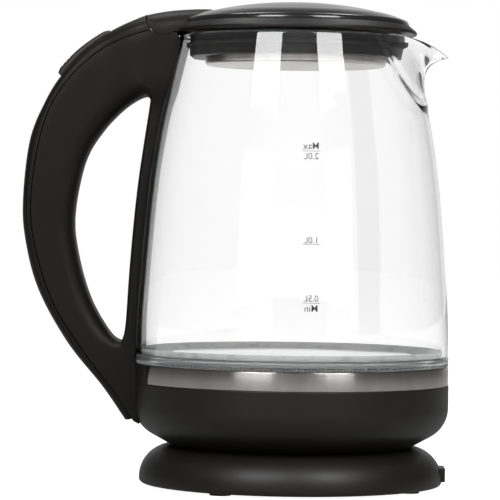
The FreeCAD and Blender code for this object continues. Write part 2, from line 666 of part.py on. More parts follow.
# ---- outer cover of the handle, and the switch in it ----------------------------------------------
# the same outline runs on over the hinge to the lid's arm
HANDLE_CROWN = ((-19.3, 1.0005), (-11.3, 1.001), (-4.8, 0.9996), (1.6, 0.9972), (7.9, 0.9935), (14.3, 0.9875))
crown_line = [handle_point(*p) for p in HANDLE_CROWN] + back
crown_face = upright_face(
    spline(crown_line), spline(parting), *path(crown_line[-1], parting[-1]),
    *path(parting[0], (crown_line[0][0], 0, head_level), crown_line[0]),
)
crown = crown_face.extrude(Vector(0, 2 * half_head, 0)).translate(Vector(0, -half_head, 0)).common(handle_plan)
ahead_of_hinge = Part.makeBox(200, 200, 200, Vector(hinge.x, -100, hinge.z - 100))

# the rocker turns about a pin under the middle of its face, and its ends are round about that pin
rocker_back = [Vector(*p) for p in back[:5]]
outward = Vector(rocker_back[3].z - rocker_back[1].z, 0, rocker_back[1].x - rocker_back[3].x).normalize()
if outward.x > 0:
    outward = -outward
rocker_pivot = rocker_back[2] - outward * size("rocker_pivot_depth")
rocker_end = (rocker_back[1] - rocker_pivot).Length
half_rocker = size("rocker_width") / 2
half_pin = size("rocker_pin_length") / 2
rocker_window = across(rocker_end + 2 * size("seam"), half_rocker + size("seam"), rocker_pivot)
rocker_pin = across(size("rocker_pin_radius"), half_pin, rocker_pivot)
cover_ways = [ahead_of_hinge, socket, around_jug, rocker_window, rocker_pin]
node(shaped("handle_cover", crown.cut(cover_ways).removeSplitter()))

rise_step = (size("rocker_end_rise") - size("rocker_rise")) / 2
rocker_outer = [p + outward * (size("rocker_rise") + rise_step * (i - 1)) for i, p in enumerate(rocker_back)]
rocker_inner = [p - outward * size("rocker_thickness") for p in rocker_back]
rocker_face = upright_face(
    spline(rocker_outer), spline(rocker_inner),
    *path(rocker_outer[0], rocker_inner[0]), *path(rocker_outer[-1], rocker_inner[-1]),
)
rocker_blank = rocker_face.extrude(Vector(0, 2 * half_rocker, 0)).translate(Vector(0, -half_rocker, 0))
rocker_boss = across(size("rocker_pin_radius") + 1.4, half_rocker / 2, rocker_pivot)
rocker_bore = across(size("rocker_pin_radius") + size("pin_clearance"), half_rocker + 1, rocker_pivot)
rocker = rocker_blank.common(across(rocker_end + size("seam"), half_rocker, rocker_pivot))
node(shaped("power_switch", rocker.fuse(rocker_boss).cut(rocker_bore).removeSplitter()))
node(shaped("switch_pin", rocker_pin))

switch_length, switch_width, switch_height = 13.0, 11.0, 5.6
switch_middle = rocker_pivot - outward * (size("rocker_pin_radius") + 1.4 + size("seam") + switch_height / 2)
switch_unit = Part.makeBox(switch_length, switch_width, switch_height,
                           Vector(-switch_length / 2, -switch_width / 2, -switch_height / 2))
switch_place = Placement(switch_middle, Rotation(UP, outward))
node(shaped("switch_unit", switch_unit, switch_place))


def rounded_route(points, longest_reach):
    """Straight runs joined by tangent arcs, each as large as its runs and the longest reach allow."""
    edges, start = [], points[0]
    for before, corner, after in zip(points, points[1:], points[2:]):
        into, out = (corner - before).normalize(), (after - corner).normalize()
        half_turn = into.getAngle(out) / 2
        reach = min(0.45 * (corner - before).Length, 0.45 * (after - corner).Length, longest_reach)
        radius = reach / math.tan(half_turn)
        middle = corner + (out - into).normalize() * (radius / math.cos(half_turn) - radius)
        edges.append(Part.LineSegment(start, corner - into * reach).toShape())
        edges.append(Part.Arc(corner - into * reach, middle, corner + out * reach).toShape())
        start = corner + out * reach
    edges.append(Part.LineSegment(start, points[-1]).toShape())
    return Part.Wire(edges)


# the lead follows the channel, then goes through the foot to the control unit
lead_route = [switch_middle + switch_place.Rotation.multVec(Vector(-switch_length / 2, 0, -1.5))]
lead_route += [Vector(*p) for p in sunk_line(size("channel_depth") / 2)[1:6]]
lead_route += [lead_outside, lead_inside, Vector(-size("control_width") / 2, 0, control_bottom + 6)]
lead_path = rounded_route(lead_route, size("lead_bend"))
lead_end = Part.Wire(Part.makeCircle(size("lead_radius"), lead_route[0], lead_route[1] - lead_route[0]))
node(shaped("switch_lead", lead_path.makePipeShell([lead_end], True, False)))

# ---- hinge and lid --------------------------------------------------------------------------------
half_arm = size("arm_width") / 2
half_slot = size("hinge_slot_width") / 2
arm_level = glass_top + size("lid_rim_gap")
node(rod("hinge_pin", "hinge_pin_radius", "arm_width - 2", (hinge.x, 1 - half_arm, hinge.z), Vector(0, 1, 0)))

knuckle = across(size("knuckle_radius"), half_arm)
arm_ahead = size("hinge_reach") - size("arm_front")
arm_reach = Part.makeBox(arm_ahead, 2 * half_arm, 60, Vector(hinge.x, -half_arm, arm_level))
below_arm = Part.makeBox(100, 100, 60, Vector(hinge.x - 3.6, -50, arm_level - 60))
ear_room = size("hinge_ear_radius") + 0.4
slot = Part.makeBox(14.0, 2 * half_slot, 60, Vector(hinge.x + ear_room - 14.0, -half_slot, hinge.z + 2.5 - 60))
hollow_start = hinge.x + 6
hollow = Part.makeBox(-size("arm_front") - size("lid_wall") - hollow_start, 2 * (half_arm - size("lid_wall")), 60,
                      Vector(hollow_start, size("lid_wall") - half_arm, handle_top - 3.4 - 60))
arm_bore = across(size("hinge_pin_radius") + size("pin_clearance"), half_arm + 1)
arm = crown.common(arm_reach.fuse(knuckle)).cut([below_arm, slot, hollow, arm_bore])
node(shaped("hinge_arm", arm.removeSplitter()))

GLASS_TOP = "housing_top + collar_height + glass_height"
RIM = GLASS_TOP + " + lid_rim_gap"
RIM_TOP = RIM + " + lid_rim_height"
LID_TOP = GLASS_TOP + " + lid_top_rise"
LID_FLOOR = GLASS_TOP + " - skirt_depth"
lid_floor = size(LID_FLOOR)
arm_opening = block("arm_opening", "hinge_reach - arm_front + 10", "arm_width + 0.2", 60,
                    (-(size("hinge_reach") + size("arm_front") + 10) / 2, 0, arm_level - 0.1))
lid_screw_points = round_the_axis(3, size("skirt_radius") - 18)
lid_outside = turned("lid_outside", [
    ("0", LID_FLOOR),
    ("skirt_radius", LID_FLOOR),
    ("skirt_radius", RIM),
    ("lid_radius - 0.6", RIM),
    ("lid_radius", RIM + " + 0.6"),
    ("lid_radius", RIM + " + 1.4"),
    ("lid_cover_radius + 0.3", RIM_TOP),
    ("0", RIM_TOP),
])
lid_hollow = turned("lid_hollow", [
    ("0", LID_FLOOR + " + lid_wall"),
    ("skirt_radius - skirt_wall", LID_FLOOR + " + lid_wall"),
    ("skirt_radius - skirt_wall", RIM_TOP + " - 2"),
    ("lid_cover_radius - 2.6", RIM_TOP),
    ("0", RIM_TOP),
])


def slanted_block(label, back_off):
    """What is cut away under the back of the skirt, where the lid swings past the rim."""
    item = block(label, 40, "arm_width + 20", 20, (0, 0, 0))
    item.Placement = Placement(
        Vector(-size("lid_radius") - 10, -half_arm - 10, lid_floor + 7 + back_off),
        Rotation(Vector(0, 1, 0), 27.6),
    ).multiply(Placement(Vector(0, 0, -20), Rotation()))
    return item


lid_room = cut("lid_room", lid_hollow, slanted_block("skirt_slant_inside", size("lid_wall")))
floor_holes = [
    rod(f"lid_floor_hole_{i}", "screw_radius", 6, (x, y, lid_floor - 2)) for i, (x, y) in enumerate(lid_screw_points)
]
node(cut("lid_body", lid_outside, lid_room, slanted_block("skirt_slant", 0), arm_opening, *floor_holes))

cover_dome = turned("lid_cover_dome", [
    ("lid_cover_radius - 2.4", RIM_TOP),
    ("lid_cover_radius", RIM_TOP),
    ("lid_shoulder_radius", LID_TOP + " - lid_shoulder_drop", "lid_edge_round"),
    ("lid_flat_radius", LID_TOP, "lid_dome_radius"),
    ("0", LID_TOP),
    ("0", LID_TOP + " - lid_wall"),
    ("lid_flat_radius", LID_TOP + " - lid_wall"),
    ("lid_shoulder_radius - 0.6", LID_TOP + " - lid_shoulder_drop - lid_wall", "lid_dome_radius", "in"),
])
boss_foot = lid_floor + size("lid_wall")
boss_top = size(LID_TOP + " - lid_shoulder_drop") + 0.2
lid_bosses = [
    rod(f"lid_boss_{i}", 3.5, boss_top - boss_foot, (x, y, boss_foot)) for i, (x, y) in enumerate(lid_screw_points)
]
lid_pilots = [
    rod(f"lid_pilot_{i}", "screw_radius", 10, (x, y, lid_floor)) for i, (x, y) in enumerate(lid_screw_points)
]
node(cut("lid_cover", joined("lid_cover_solid", cover_dome, *lid_bosses), arm_opening, *lid_pilots))
node(screws("lid_screws", at_height(lid_screw_points, lid_floor - size("screw_head_height")), "screw_length"))
SEAL_REACH = "glass_rim_radius - glass_wall - seal_clearance"
node(turned("lid_seal", [
    ("skirt_radius", RIM + " - 8"),
    (SEAL_REACH, RIM + " - 7.5"),
    (SEAL_REACH, RIM + " - 8.5 + seal_height"),
    ("skirt_radius", RIM + " - 8 + seal_height"),
]))
PAN_FOOT = LID_FLOOR + " - lid_plate_depth"
node(turned("lid_plate", [
    ("0", PAN_FOOT),
    ("lid_plate_radius - 1.5", PAN_FOOT),
    ("lid_plate_radius", PAN_FOOT + " + 1.5", "1.5"),
    ("lid_plate_radius", LID_FLOOR),
    ("lid_plate_radius - lid_pan_thickness", LID_FLOOR),
    ("lid_plate_radius - lid_pan_thickness", PAN_FOOT + " + 1.5"),
    ("lid_plate_radius - 1.5", PAN_FOOT + " + lid_pan_thickness", "1.5 - lid_pan_thickness", "in"),
    ("0", PAN_FOOT + " + lid_pan_thickness"),
]))

# ---- check and write ------------------------------------------------------------------------------
doc.recompute()
for item in doc.Objects:
    if {"Invalid", "Error"} & set(item.State):
        raise RuntimeError(f"{item.Label} failed to recompute")
for item in NODES:
    if item.Shape.isNull() or not item.Shape.isValid():
        raise RuntimeError(f"{item.Label} has no valid shape")
os.makedirs("parts", exist_ok=True)
for item in NODES:
    item.Shape.exportStep(f"parts/{item.Label}.step")
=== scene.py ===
import math

import bpy
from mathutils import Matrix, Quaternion, Vector


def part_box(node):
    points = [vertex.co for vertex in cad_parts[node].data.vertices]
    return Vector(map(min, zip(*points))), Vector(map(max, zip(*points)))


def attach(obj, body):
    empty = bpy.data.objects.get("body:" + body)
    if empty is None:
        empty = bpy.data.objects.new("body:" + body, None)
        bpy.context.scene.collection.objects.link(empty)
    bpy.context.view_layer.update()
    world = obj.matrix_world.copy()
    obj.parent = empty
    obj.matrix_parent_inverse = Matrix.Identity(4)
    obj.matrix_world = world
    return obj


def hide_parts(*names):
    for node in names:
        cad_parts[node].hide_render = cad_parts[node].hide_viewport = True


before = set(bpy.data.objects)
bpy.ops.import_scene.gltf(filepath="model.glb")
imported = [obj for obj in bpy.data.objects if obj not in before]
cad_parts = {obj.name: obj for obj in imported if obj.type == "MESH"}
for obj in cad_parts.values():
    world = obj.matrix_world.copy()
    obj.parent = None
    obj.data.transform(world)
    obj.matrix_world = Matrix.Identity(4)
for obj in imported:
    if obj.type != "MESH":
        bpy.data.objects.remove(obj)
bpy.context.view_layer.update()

# ---- base cover -----------------------------------------------------------------------------------
# The top of the power base: one domed ABS moulding with a round well in its middle for the kettle's
# connector. It is injection moulded with a fine satin grain, and screwed to a flat plate underneath.
MM = 0.001
AXIS_GAP = 0.001


def arc(across, up, radius, start, end, steps=8):
    """Points (across, up) on an arc, from one angle to the other, in degrees."""
    turns = [math.radians(start + (end - start) * i / steps) for i in range(steps + 1)]
    return [(across + radius * math.cos(a), up + radius * math.sin(a)) for a in turns]


def select_only(piece):
    """Selects one piece alone and makes it the active one."""
    bpy.ops.object.select_all(action="DESELECT")
    piece.select_set(True)
    bpy.context.view_layer.objects.active = piece


def ringed(name, rings, closed=True):
    """A piece drawn up from a circle, ring by ring. Each ring is a line of points (x, y, z) in mm that
    closes on itself; a closed piece comes back to its first ring, and an open one is filled at
    its ends."""
    around = len(rings[0])
    bpy.ops.object.select_all(action="DESELECT")
    bpy.ops.mesh.primitive_circle_add(vertices=around, radius=1)
    piece = bpy.context.object
    piece.name = piece.data.name = name
    bpy.ops.object.mode_set(mode="EDIT")
    stations = rings + rings[:1] if closed else rings
    for _ in stations[1:]:
        bpy.ops.mesh.extrude_region_move(TRANSFORM_OT_translate={"value": (0, 0, 1)})
    bpy.ops.object.mode_set(mode="OBJECT")
    for vertex in piece.data.vertices:
        turn = round(math.atan2(vertex.co.y, vertex.co.x) / (2 * math.pi) * around) % around
        vertex.co = Vector(stations[round(vertex.co.z)][turn]) * MM
    bpy.ops.object.mode_set(mode="EDIT")
    bpy.ops.mesh.select_all(action="SELECT")
    bpy.ops.mesh.remove_doubles(threshold=0.004 * MM)
    bpy.ops.mesh.dissolve_degenerate(threshold=0.002 * MM)
    if not closed:
        bpy.ops.mesh.select_all(action="SELECT")
        bpy.ops.mesh.fill_holes(sides=0)
    bpy.ops.mesh.select_all(action="SELECT")
    bpy.ops.mesh.delete_loose(use_verts=True, use_edges=True, use_faces=False)
    bpy.ops.mesh.select_all(action="SELECT")
    bpy.ops.mesh.normals_make_consistent(inside=False)
    bpy.ops.object.mode_set(mode="OBJECT")
    return piece


def turned(name, profile, around=160):
    """A round piece from the (radius, height) points of its section, in mm."""
    turns = [2 * math.pi * i / around for i in range(around)]
    return ringed(name, [[(r * math.cos(a), r * math.sin(a), up) for a in turns] for r, up in profile])


def eased(piece, width, segments=2, smooth=32):
    """Breaks the sharp edges of a piece by a width in mm and shades the rest smooth."""
    select_only(piece)
    if width:
        bevel = piece.modifiers.new("edges", "BEVEL")
        bevel.width = width * MM
        bevel.segments = segments
        bevel.limit_method = "ANGLE"
        bevel.angle_limit = math.radians(smooth)
        bevel.use_clamp_overlap = True
        bpy.ops.object.modifier_apply(modifier=bevel.name)
    bpy.ops.object.shade_smooth_by_angle(angle=math.radians(smooth))
    return piece


def fitted(piece, material, body, slot, *nodes):
    """Gives a finished piece its material and its place in the frame."""
    piece.data.materials.clear()
    piece.data.materials.append(material)
    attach(piece, body)
    if nodes:
        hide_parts(*nodes)
    return piece


def colour(code):
    """An sRGB hex colour as the linear values that a shader takes."""
    shares = [int(code[i:i + 2], 16) / 255 for i in (1, 3, 5)]
    return [c / 12.92 if c <= 0.04045 else ((c + 0.055) / 1.055) ** 2.4 for c in shares] + [1.0]


def add_node(tree, kind, settings, links):
    """Adds one shader node. Settings are its properties, or values of its inputs by name or number,
    and links are the outputs that feed its inputs."""
    node = tree.nodes.new("ShaderNode" + kind)
    for name, value in settings.items():
        if isinstance(name, str) and name in node.bl_rna.properties:
            setattr(node, name, value)
        else:
            node.inputs[name].default_value = value
    for name, source in links.items():
        tree.links.new(source, node.inputs[name])
    return node


def new_material(name, settings):
    """A material whose one shader has these constant inputs, and its object coordinates."""
    material = bpy.data.materials.new(name)
    material.use_nodes = True
    tree = material.node_tree
    shader = tree.nodes["Principled BSDF"]
    for key, value in settings.items():
        shader.inputs[key].default_value = value
    place = add_node(tree, "TexCoord", {}, {}).outputs["Object"]
    return material, tree, shader, place


def moulded_plastic(name, dark, light, roughness, grain=0.45, depth=0.012, shine=0.24):
    """Injection moulded plastic: a fine spark-eroded grain, slow changes of sheen where it is handled,
    and a little dust-pale variation of colour. Grain and depth are in mm."""
    material, tree, shader, place = new_material(name, {"IOR": 1.5, "Specular IOR Level": shine})
    tone = add_node(tree, "TexNoise", {"Scale": 1 / (55 * MM), "Detail": 4.0, "Roughness": 0.6},
                    {"Vector": place})
    shade = add_node(tree, "Mix", {"data_type": "RGBA", 6: colour(dark), 7: colour(light)},
                     {0: tone.outputs["Fac"]})
    tree.links.new(shade.outputs[2], shader.inputs["Base Color"])
    rub = add_node(tree, "TexNoise", {"Scale": 1 / (18 * MM), "Detail": 5.0}, {"Vector": place})
    sheen = add_node(tree, "MapRange", {"To Min": roughness - 0.05, "To Max": roughness + 0.06},
                     {"Value": rub.outputs["Fac"]})
    tree.links.new(sheen.outputs["Result"], shader.inputs["Roughness"])
    pits = add_node(tree, "TexNoise", {"Scale": 1 / (grain * MM), "Detail": 2.0}, {"Vector": place})
    relief = add_node(tree, "Bump", {"Strength": 0.5, "Distance": depth * MM},
                      {"Height": pits.outputs["Fac"]})
    tree.links.new(relief.outputs["Normal"], shader.inputs["Normal"])
    return material


def box_mm(node):
    """The lowest and highest corner of a CAD node, in mm."""
    low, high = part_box(node)
    return low / MM, high / MM


BASE_DOME = 17.0
BASE_WALL = 2.5
base_low, base_high = box_mm("base_cover")
base_radius = base_high.x
shoulder = base_radius - BASE_DOME
crown = base_high.z
WELL_RADIUS, WELL_DEPTH, POST_WAY = 30.0, 3.5, 18.0
base_profile = [
    (base_radius - BASE_WALL, base_low.z),
    *arc(base_radius - 2.0, base_low.z + 2.0, 2.0, -90, 0, 5),
    *arc(shoulder, crown - BASE_DOME, BASE_DOME, 2, 90, 18),
    (WELL_RADIUS + 0.8, crown),
    *arc(WELL_RADIUS + 0.8, crown - 0.8, 0.8, 90, 180, 3),
    (WELL_RADIUS - 1, crown - WELL_DEPTH),
    (POST_WAY, crown - WELL_DEPTH),
    (POST_WAY, crown - WELL_DEPTH - BASE_WALL),
    (WELL_RADIUS + 1, crown - WELL_DEPTH - BASE_WALL),
    (WELL_RADIUS + 2, crown - BASE_WALL),
    (shoulder, crown - BASE_WALL),
    *arc(shoulder, crown - BASE_DOME, BASE_DOME - BASE_WALL, 90, 0, 12),
]
base_abs = moulded_plastic("satin_black_abs_base", "#0f0d0c", "#141210", 0.44)
base_cover = eased(turned("base_cover_shell", base_profile), 0)
fitted(base_cover, base_abs, "power_base", "base_plastic", "base_cover")

# ---- cord outlet ----------------------------------------------------------------------------------
# The small block in the edge of the base where the cord would leave it: an ABS insert with rounded
# corners, two finger ribs across its face and a round hole through its middle.
outlet_low, outlet_high = box_mm("cord_outlet")
outlet_size = outlet_high - outlet_low
outlet_middle = (outlet_low + outlet_high) / 2
RIB_DEPTH, RIB_GROOVE, RIB_PLACE = 0.9, 1.2, 0.36
CORD_HOLE = 3.3
bpy.ops.object.select_all(action="DESELECT")
bpy.ops.mesh.primitive_cube_add(size=1, location=outlet_middle * MM, scale=outlet_size * MM)
cord_outlet = bpy.context.object
cord_outlet.name = cord_outlet.data.name = "cord_outlet_block"
bpy.ops.object.transform_apply(location=True, rotation=False, scale=True)
bpy.ops.mesh.primitive_cylinder_add(
    vertices=48, radius=CORD_HOLE * MM, depth=20 * MM, location=outlet_middle * MM,
    rotation=(0, math.pi / 2, 0),
)
hole_tool = bpy.context.object
groove_tools = [hole_tool]
for side in (-1, 1):
    groove_at = Vector((outlet_high.x, side * outlet_size.y * RIB_PLACE, outlet_middle.z))
    bpy.ops.mesh.primitive_cube_add(size=1, location=groove_at * MM,
                                    scale=(2 * RIB_DEPTH * MM, RIB_GROOVE * MM,
                                           2 * outlet_size.z * MM))
    groove_tools.append(bpy.context.object)


def cut_away(piece, *tools):
    """Cuts each tool's shape out of a piece and clears the tools away."""
    for tool in tools:
        select_only(piece)
        cut = piece.modifiers.new("cut", "BOOLEAN")
        cut.operation = "DIFFERENCE"
        cut.solver = "EXACT"
        cut.object = tool
        bpy.ops.object.modifier_apply(modifier=cut.name)
        bpy.data.objects.remove(tool)
    return piece


cut_away(cord_outlet, *groove_tools)
fitted(eased(cord_outlet, 0.5, 3), base_abs, "power_base", "base_plastic", "cord_outlet")

# ---- what the base rests on and is closed with ----------------------------------------------------
# Four rubber pads, a flat ABS plate and its zinc-plated screws. The shapes are simple turned and
# moulded ones, so they stay as designed, with their real materials.


def wear_resistant_rubber(name, base):
    """Moulded rubber: dull, slightly pebbled, with paler scuffs."""
    material, tree, shader, place = new_material(name, {"Roughness": 0.82, "IOR": 1.5})
    scuff = add_node(tree, "TexNoise", {"Scale": 1 / (6 * MM), "Detail": 6.0}, {"Vector": place})
    ramp = add_node(tree, "Mix", {"data_type": "RGBA", 6: colour(base), 7: colour("#4a4745")},
                    {0: add_node(tree, "MapRange", {"From Min": 0.5, "From Max": 0.9, "To Max": 0.5},
                                 {"Value": scuff.outputs["Fac"]}).outputs["Result"]})
    tree.links.new(ramp.outputs[2], shader.inputs["Base Color"])
    relief = add_node(tree, "Bump", {"Strength": 0.5, "Distance": 0.05 * MM},
                      {"Height": scuff.outputs["Fac"]})
    tree.links.new(relief.outputs["Normal"], shader.inputs["Normal"])
    return material


def worked_metal(name, base, roughness, scratch=0.6, depth=0.006):
    """Plated, stamped or cast metal: tiny crossing scratches and patches of different polish.
    Scratch and depth are in mm."""
    material, tree, shader, place = new_material(name, {"Base Color": colour(base), "Metallic": 1.0})
    patches = add_node(tree, "TexNoise", {"Scale": 1 / (9 * MM), "Detail": 5.0}, {"Vector": place})
    polish = add_node(tree, "MapRange", {"To Min": roughness - 0.08, "To Max": roughness + 0.12},
                      {"Value": patches.outputs["Fac"]})
    tree.links.new(polish.outputs["Result"], shader.inputs["Roughness"])
    marks = add_node(tree, "TexNoise", {"Scale": 1 / (scratch * MM), "Detail": 3.0}, {"Vector": place})
    relief = add_node(tree, "Bump", {"Strength": 0.4, "Distance": depth * MM},
                      {"Height": marks.outputs["Fac"]})
    tree.links.new(relief.outputs["Normal"], shader.inputs["Normal"])
    return material


def carried_over(material, *nodes):
    """Gives CAD nodes that show as they are their material."""
    for name in nodes:
        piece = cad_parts[name]
        piece.data.materials.clear()
        piece.data.materials.append(material)


zinc = worked_metal("zinc_plated_steel", "#9a9a96", 0.34)
brass = worked_metal("stamped_brass", "#c9a25a", 0.3)
foot_rubber = wear_resistant_rubber("black_nitrile_rubber", "#161514")
carried_over(base_abs, "base_bottom_plate", "base_connector")
carried_over(foot_rubber, "base_feet")
carried_over(zinc, "base_screws")
carried_over(brass, "base_contacts")

# ---- connector under the kettle -------------------------------------------------------------------
# A round black ABS socket with sprung brass leaves, the same all the way round, so that the kettle can
# be put down at any angle.
carried_over(base_abs, "kettle_connector")
carried_over(brass, "connector_contacts")

# ---- lower housing --------------------------------------------------------------------------------
# The black bowl that holds the heater and the controls: one ABS moulding with a cylindrical wall, a
# round belly and a short slope down to its seat, stepped at the top to carry the steel band.
SEAT_RADIUS, SLOPE_RADIUS, SLOPE_HEIGHT = 63.2, 74.56, 27.43
SEAT_LEDGE, LEDGE_INSIDE, LEDGE_LOW, LEDGE_HIGH = 56.2, 49.0, 2.4, 4.9
BELLY_RADIUS, BELLY_HEIGHT = 17.0, 42.0
HOUSING_WALL = 2.5
BAND_RADIUS, BAND_THICKNESS = 82.5, 0.8
housing_low, housing_high = box_mm("lower_housing")
band_low, band_high = box_mm("steel_band")
housing_radius = housing_high.x
band_seat = BAND_RADIUS - BAND_THICKNESS
slope_angle = math.degrees(math.atan2(SLOPE_HEIGHT - BELLY_HEIGHT,
                                      SLOPE_RADIUS - housing_radius + BELLY_RADIUS))
housing_profile = [
    (SEAT_LEDGE, housing_low.z),
    (SEAT_RADIUS - 0.6, housing_low.z),
    (SEAT_RADIUS + 0.3, housing_low.z + 0.3),
    *arc(housing_radius - BELLY_RADIUS, BELLY_HEIGHT, BELLY_RADIUS, slope_angle, 0, 16),
    (housing_radius, band_low.z - 0.9),
    *arc(housing_radius - 0.5, band_low.z - 0.5, 0.5, 0, 90, 3),
    (band_seat, band_low.z),
    (band_seat, housing_high.z),
    (band_seat - HOUSING_WALL, housing_high.z),
    (band_seat - HOUSING_WALL, BELLY_HEIGHT),
    *arc(housing_radius - BELLY_RADIUS, BELLY_HEIGHT, BELLY_RADIUS - HOUSING_WALL, 0, slope_angle, 10),
    (SEAT_RADIUS, housing_low.z + LEDGE_HIGH),
    (LEDGE_INSIDE, housing_low.z + LEDGE_HIGH),
    (LEDGE_INSIDE, housing_low.z + LEDGE_LOW),
    (SEAT_LEDGE, housing_low.z + LEDGE_LOW),
]
housing_abs = moulded_plastic("satin_black_abs_housing", "#0f0d0b", "#13110f", 0.46)
housing = eased(turned("lower_housing_bowl", housing_profile), 0)
fitted(housing, housing_abs, "kettle", "housing_plastic", "lower_housing")
carried_over(housing_abs, "bottom_cover")
carried_over(zinc, "bottom_cover_screws", "handle_screws")

# ---- steel band -----------------------------------------------------------------------------------
# A strip of stainless steel round the top of the housing, brushed along its length and butted at the
# back, where the foot of the handle covers the joint with a black shoe.


def brushed_steel(name, base, pale, roughness, along, depth=0.004):
    """Brushed stainless steel. Hairlines about 0.35 mm wide, drawn coarser than real grit so that they
    show, run round the kettle on a band or in rings on a disc; the polish changes in slow patches."""
    material, tree, shader, place = new_material(name, {
        "Metallic": 1.0, "Anisotropic": 0.9 if along == "band" else 0.5, "Anisotropic Rotation": 0.25,
    })
    around = add_node(tree, "Tangent", {"direction_type": "RADIAL", "axis": "Z"}, {})
    tree.links.new(around.outputs["Tangent"], shader.inputs["Tangent"])
    axes = add_node(tree, "SeparateXYZ", {}, {"Vector": place})
    turn = add_node(tree, "Math", {"operation": "ARCTAN2"}, {0: axes.outputs["Y"], 1: axes.outputs["X"]})
    square_x = add_node(tree, "Math", {"operation": "MULTIPLY"},
                        {0: axes.outputs["X"], 1: axes.outputs["X"]})
    square = add_node(tree, "Math", {"operation": "MULTIPLY_ADD"},
                      {0: axes.outputs["Y"], 1: axes.outputs["Y"], 2: square_x.outputs[0]})
    radius = add_node(tree, "Math", {"operation": "SQRT"}, {0: square.outputs[0]})
    across = axes.outputs["Z"] if along == "band" else radius.outputs[0]
    stretched = []
    for round_scale, across_scale in ((2.5, 1 / (0.35 * MM)), (9.0, 1 / (90 * MM))):
        round_way = add_node(tree, "Math", {"operation": "MULTIPLY", 1: round_scale}, {0: turn.outputs[0]})
        cross_way = add_node(tree, "Math", {"operation": "MULTIPLY", 1: across_scale}, {0: across})
        stretched.append(add_node(tree, "CombineXYZ", {}, {
            "X": round_way.outputs[0], "Y": cross_way.outputs[0],
        }).outputs[0])
    hair = add_node(tree, "TexNoise", {"Scale": 1.0, "Detail": 3.0, "Roughness": 0.7},
                    {"Vector": stretched[0]})
    patch = add_node(tree, "TexNoise", {"Scale": 1.0, "Detail": 5.0}, {"Vector": stretched[1]})
    tint = add_node(tree, "Mix", {"data_type": "RGBA", 6: colour(base), 7: colour(pale)},
                    {0: add_node(tree, "MapRange", {"From Min": 0.35, "From Max": 0.8}, {
                        "Value": patch.outputs["Fac"]}).outputs["Result"]})
    tree.links.new(tint.outputs[2], shader.inputs["Base Color"])
    polish = add_node(tree, "MapRange", {"To Min": roughness - 0.07, "To Max": roughness + 0.1},
                      {"Value": hair.outputs["Fac"]})
    tree.links.new(polish.outputs["Result"], shader.inputs["Roughness"])
    relief = add_node(tree, "Bump", {"Strength": 0.35, "Distance": depth * MM},
                      {"Height": hair.outputs["Fac"]})
    tree.links.new(relief.outputs["Normal"], shader.inputs["Normal"])
    return material


band_steel = brushed_steel("brushed_stainless_band", "#989694", "#a7a5a3", 0.2, "band")
band_profile = [
    (band_seat, band_low.z + 0.05),
    *arc(BAND_RADIUS - 0.25, band_low.z + 0.3, 0.25, -90, 0, 3),
    *arc(BAND_RADIUS - 0.25, band_high.z - 0.3, 0.25, 0, 90, 3),
    (band_seat, band_high.z - 0.05),
]
steel_band = turned("steel_band_strip", band_profile, 200)
fitted(eased(steel_band, 0), band_steel, "kettle", "brushed_steel", "steel_band")

SHOE_FRONT = -74.5
shoe_profile = [
    (BAND_RADIUS - 0.1, band_low.z - 0.2),
    (housing_radius - 0.15, band_low.z - 0.2),
    (housing_radius - 0.05, band_low.z + 0.2),
    (housing_radius - 0.05, band_high.z - 0.4),
    (housing_radius - 0.3, band_high.z - 0.05),
    (BAND_RADIUS - 0.1, band_high.z - 0.05),
]
shoe = turned("handle_shoe", shoe_profile, 200)
select_only(shoe)
bpy.ops.object.mode_set(mode="EDIT")
bpy.ops.mesh.select_all(action="SELECT")
bpy.ops.mesh.bisect(plane_co=(SHOE_FRONT * MM, 0, 0), plane_no=(1, 0, 0), use_fill=True,
                    clear_outer=True)
bpy.ops.object.mode_set(mode="OBJECT")
fitted(eased(shoe, 0), housing_abs, "kettle", "housing_plastic")

# ---- clear collar ---------------------------------------------------------------------------------
# The clear plastic ring between the steel band and the glass: moulded in polycarbonate, with a row of
# small faceted beads round its outside that catch the light.
collar_low, collar_high = box_mm("clear_collar")
collar_radius = collar_high.x
COLLAR_INSIDE = 71.5
BEADS = 300
BEAD_FOOT, BEAD_TOP = 0.5, 2.2
BEAD_EDGE, BEAD_DEPTH = 0.5, 0.9
COLLAR_LIP, LIP_WIDTH = 1.2, 3.0


def clear_moulding(name, tint, roughness, ior, wave=12.0, depth=0.05, clear=1.0):
    """A clear moulding or glass: nearly colourless, its surface very slightly uneven. Wave and depth
    are the width and height of the unevenness in mm."""
    material, tree, shader, place = new_material(name, {
        "Base Color": colour(tint), "Transmission Weight": clear, "IOR": ior, "Roughness": roughness,
    })
    swell = add_node(tree, "TexNoise", {"Scale": 1 / (wave * MM), "Detail": 2.0}, {"Vector": place})
    relief = add_node(tree, "Bump", {"Strength": 0.3, "Distance": depth * MM},
                      {"Height": swell.outputs["Fac"]})
    tree.links.new(relief.outputs["Normal"], shader.inputs["Normal"])
    return material


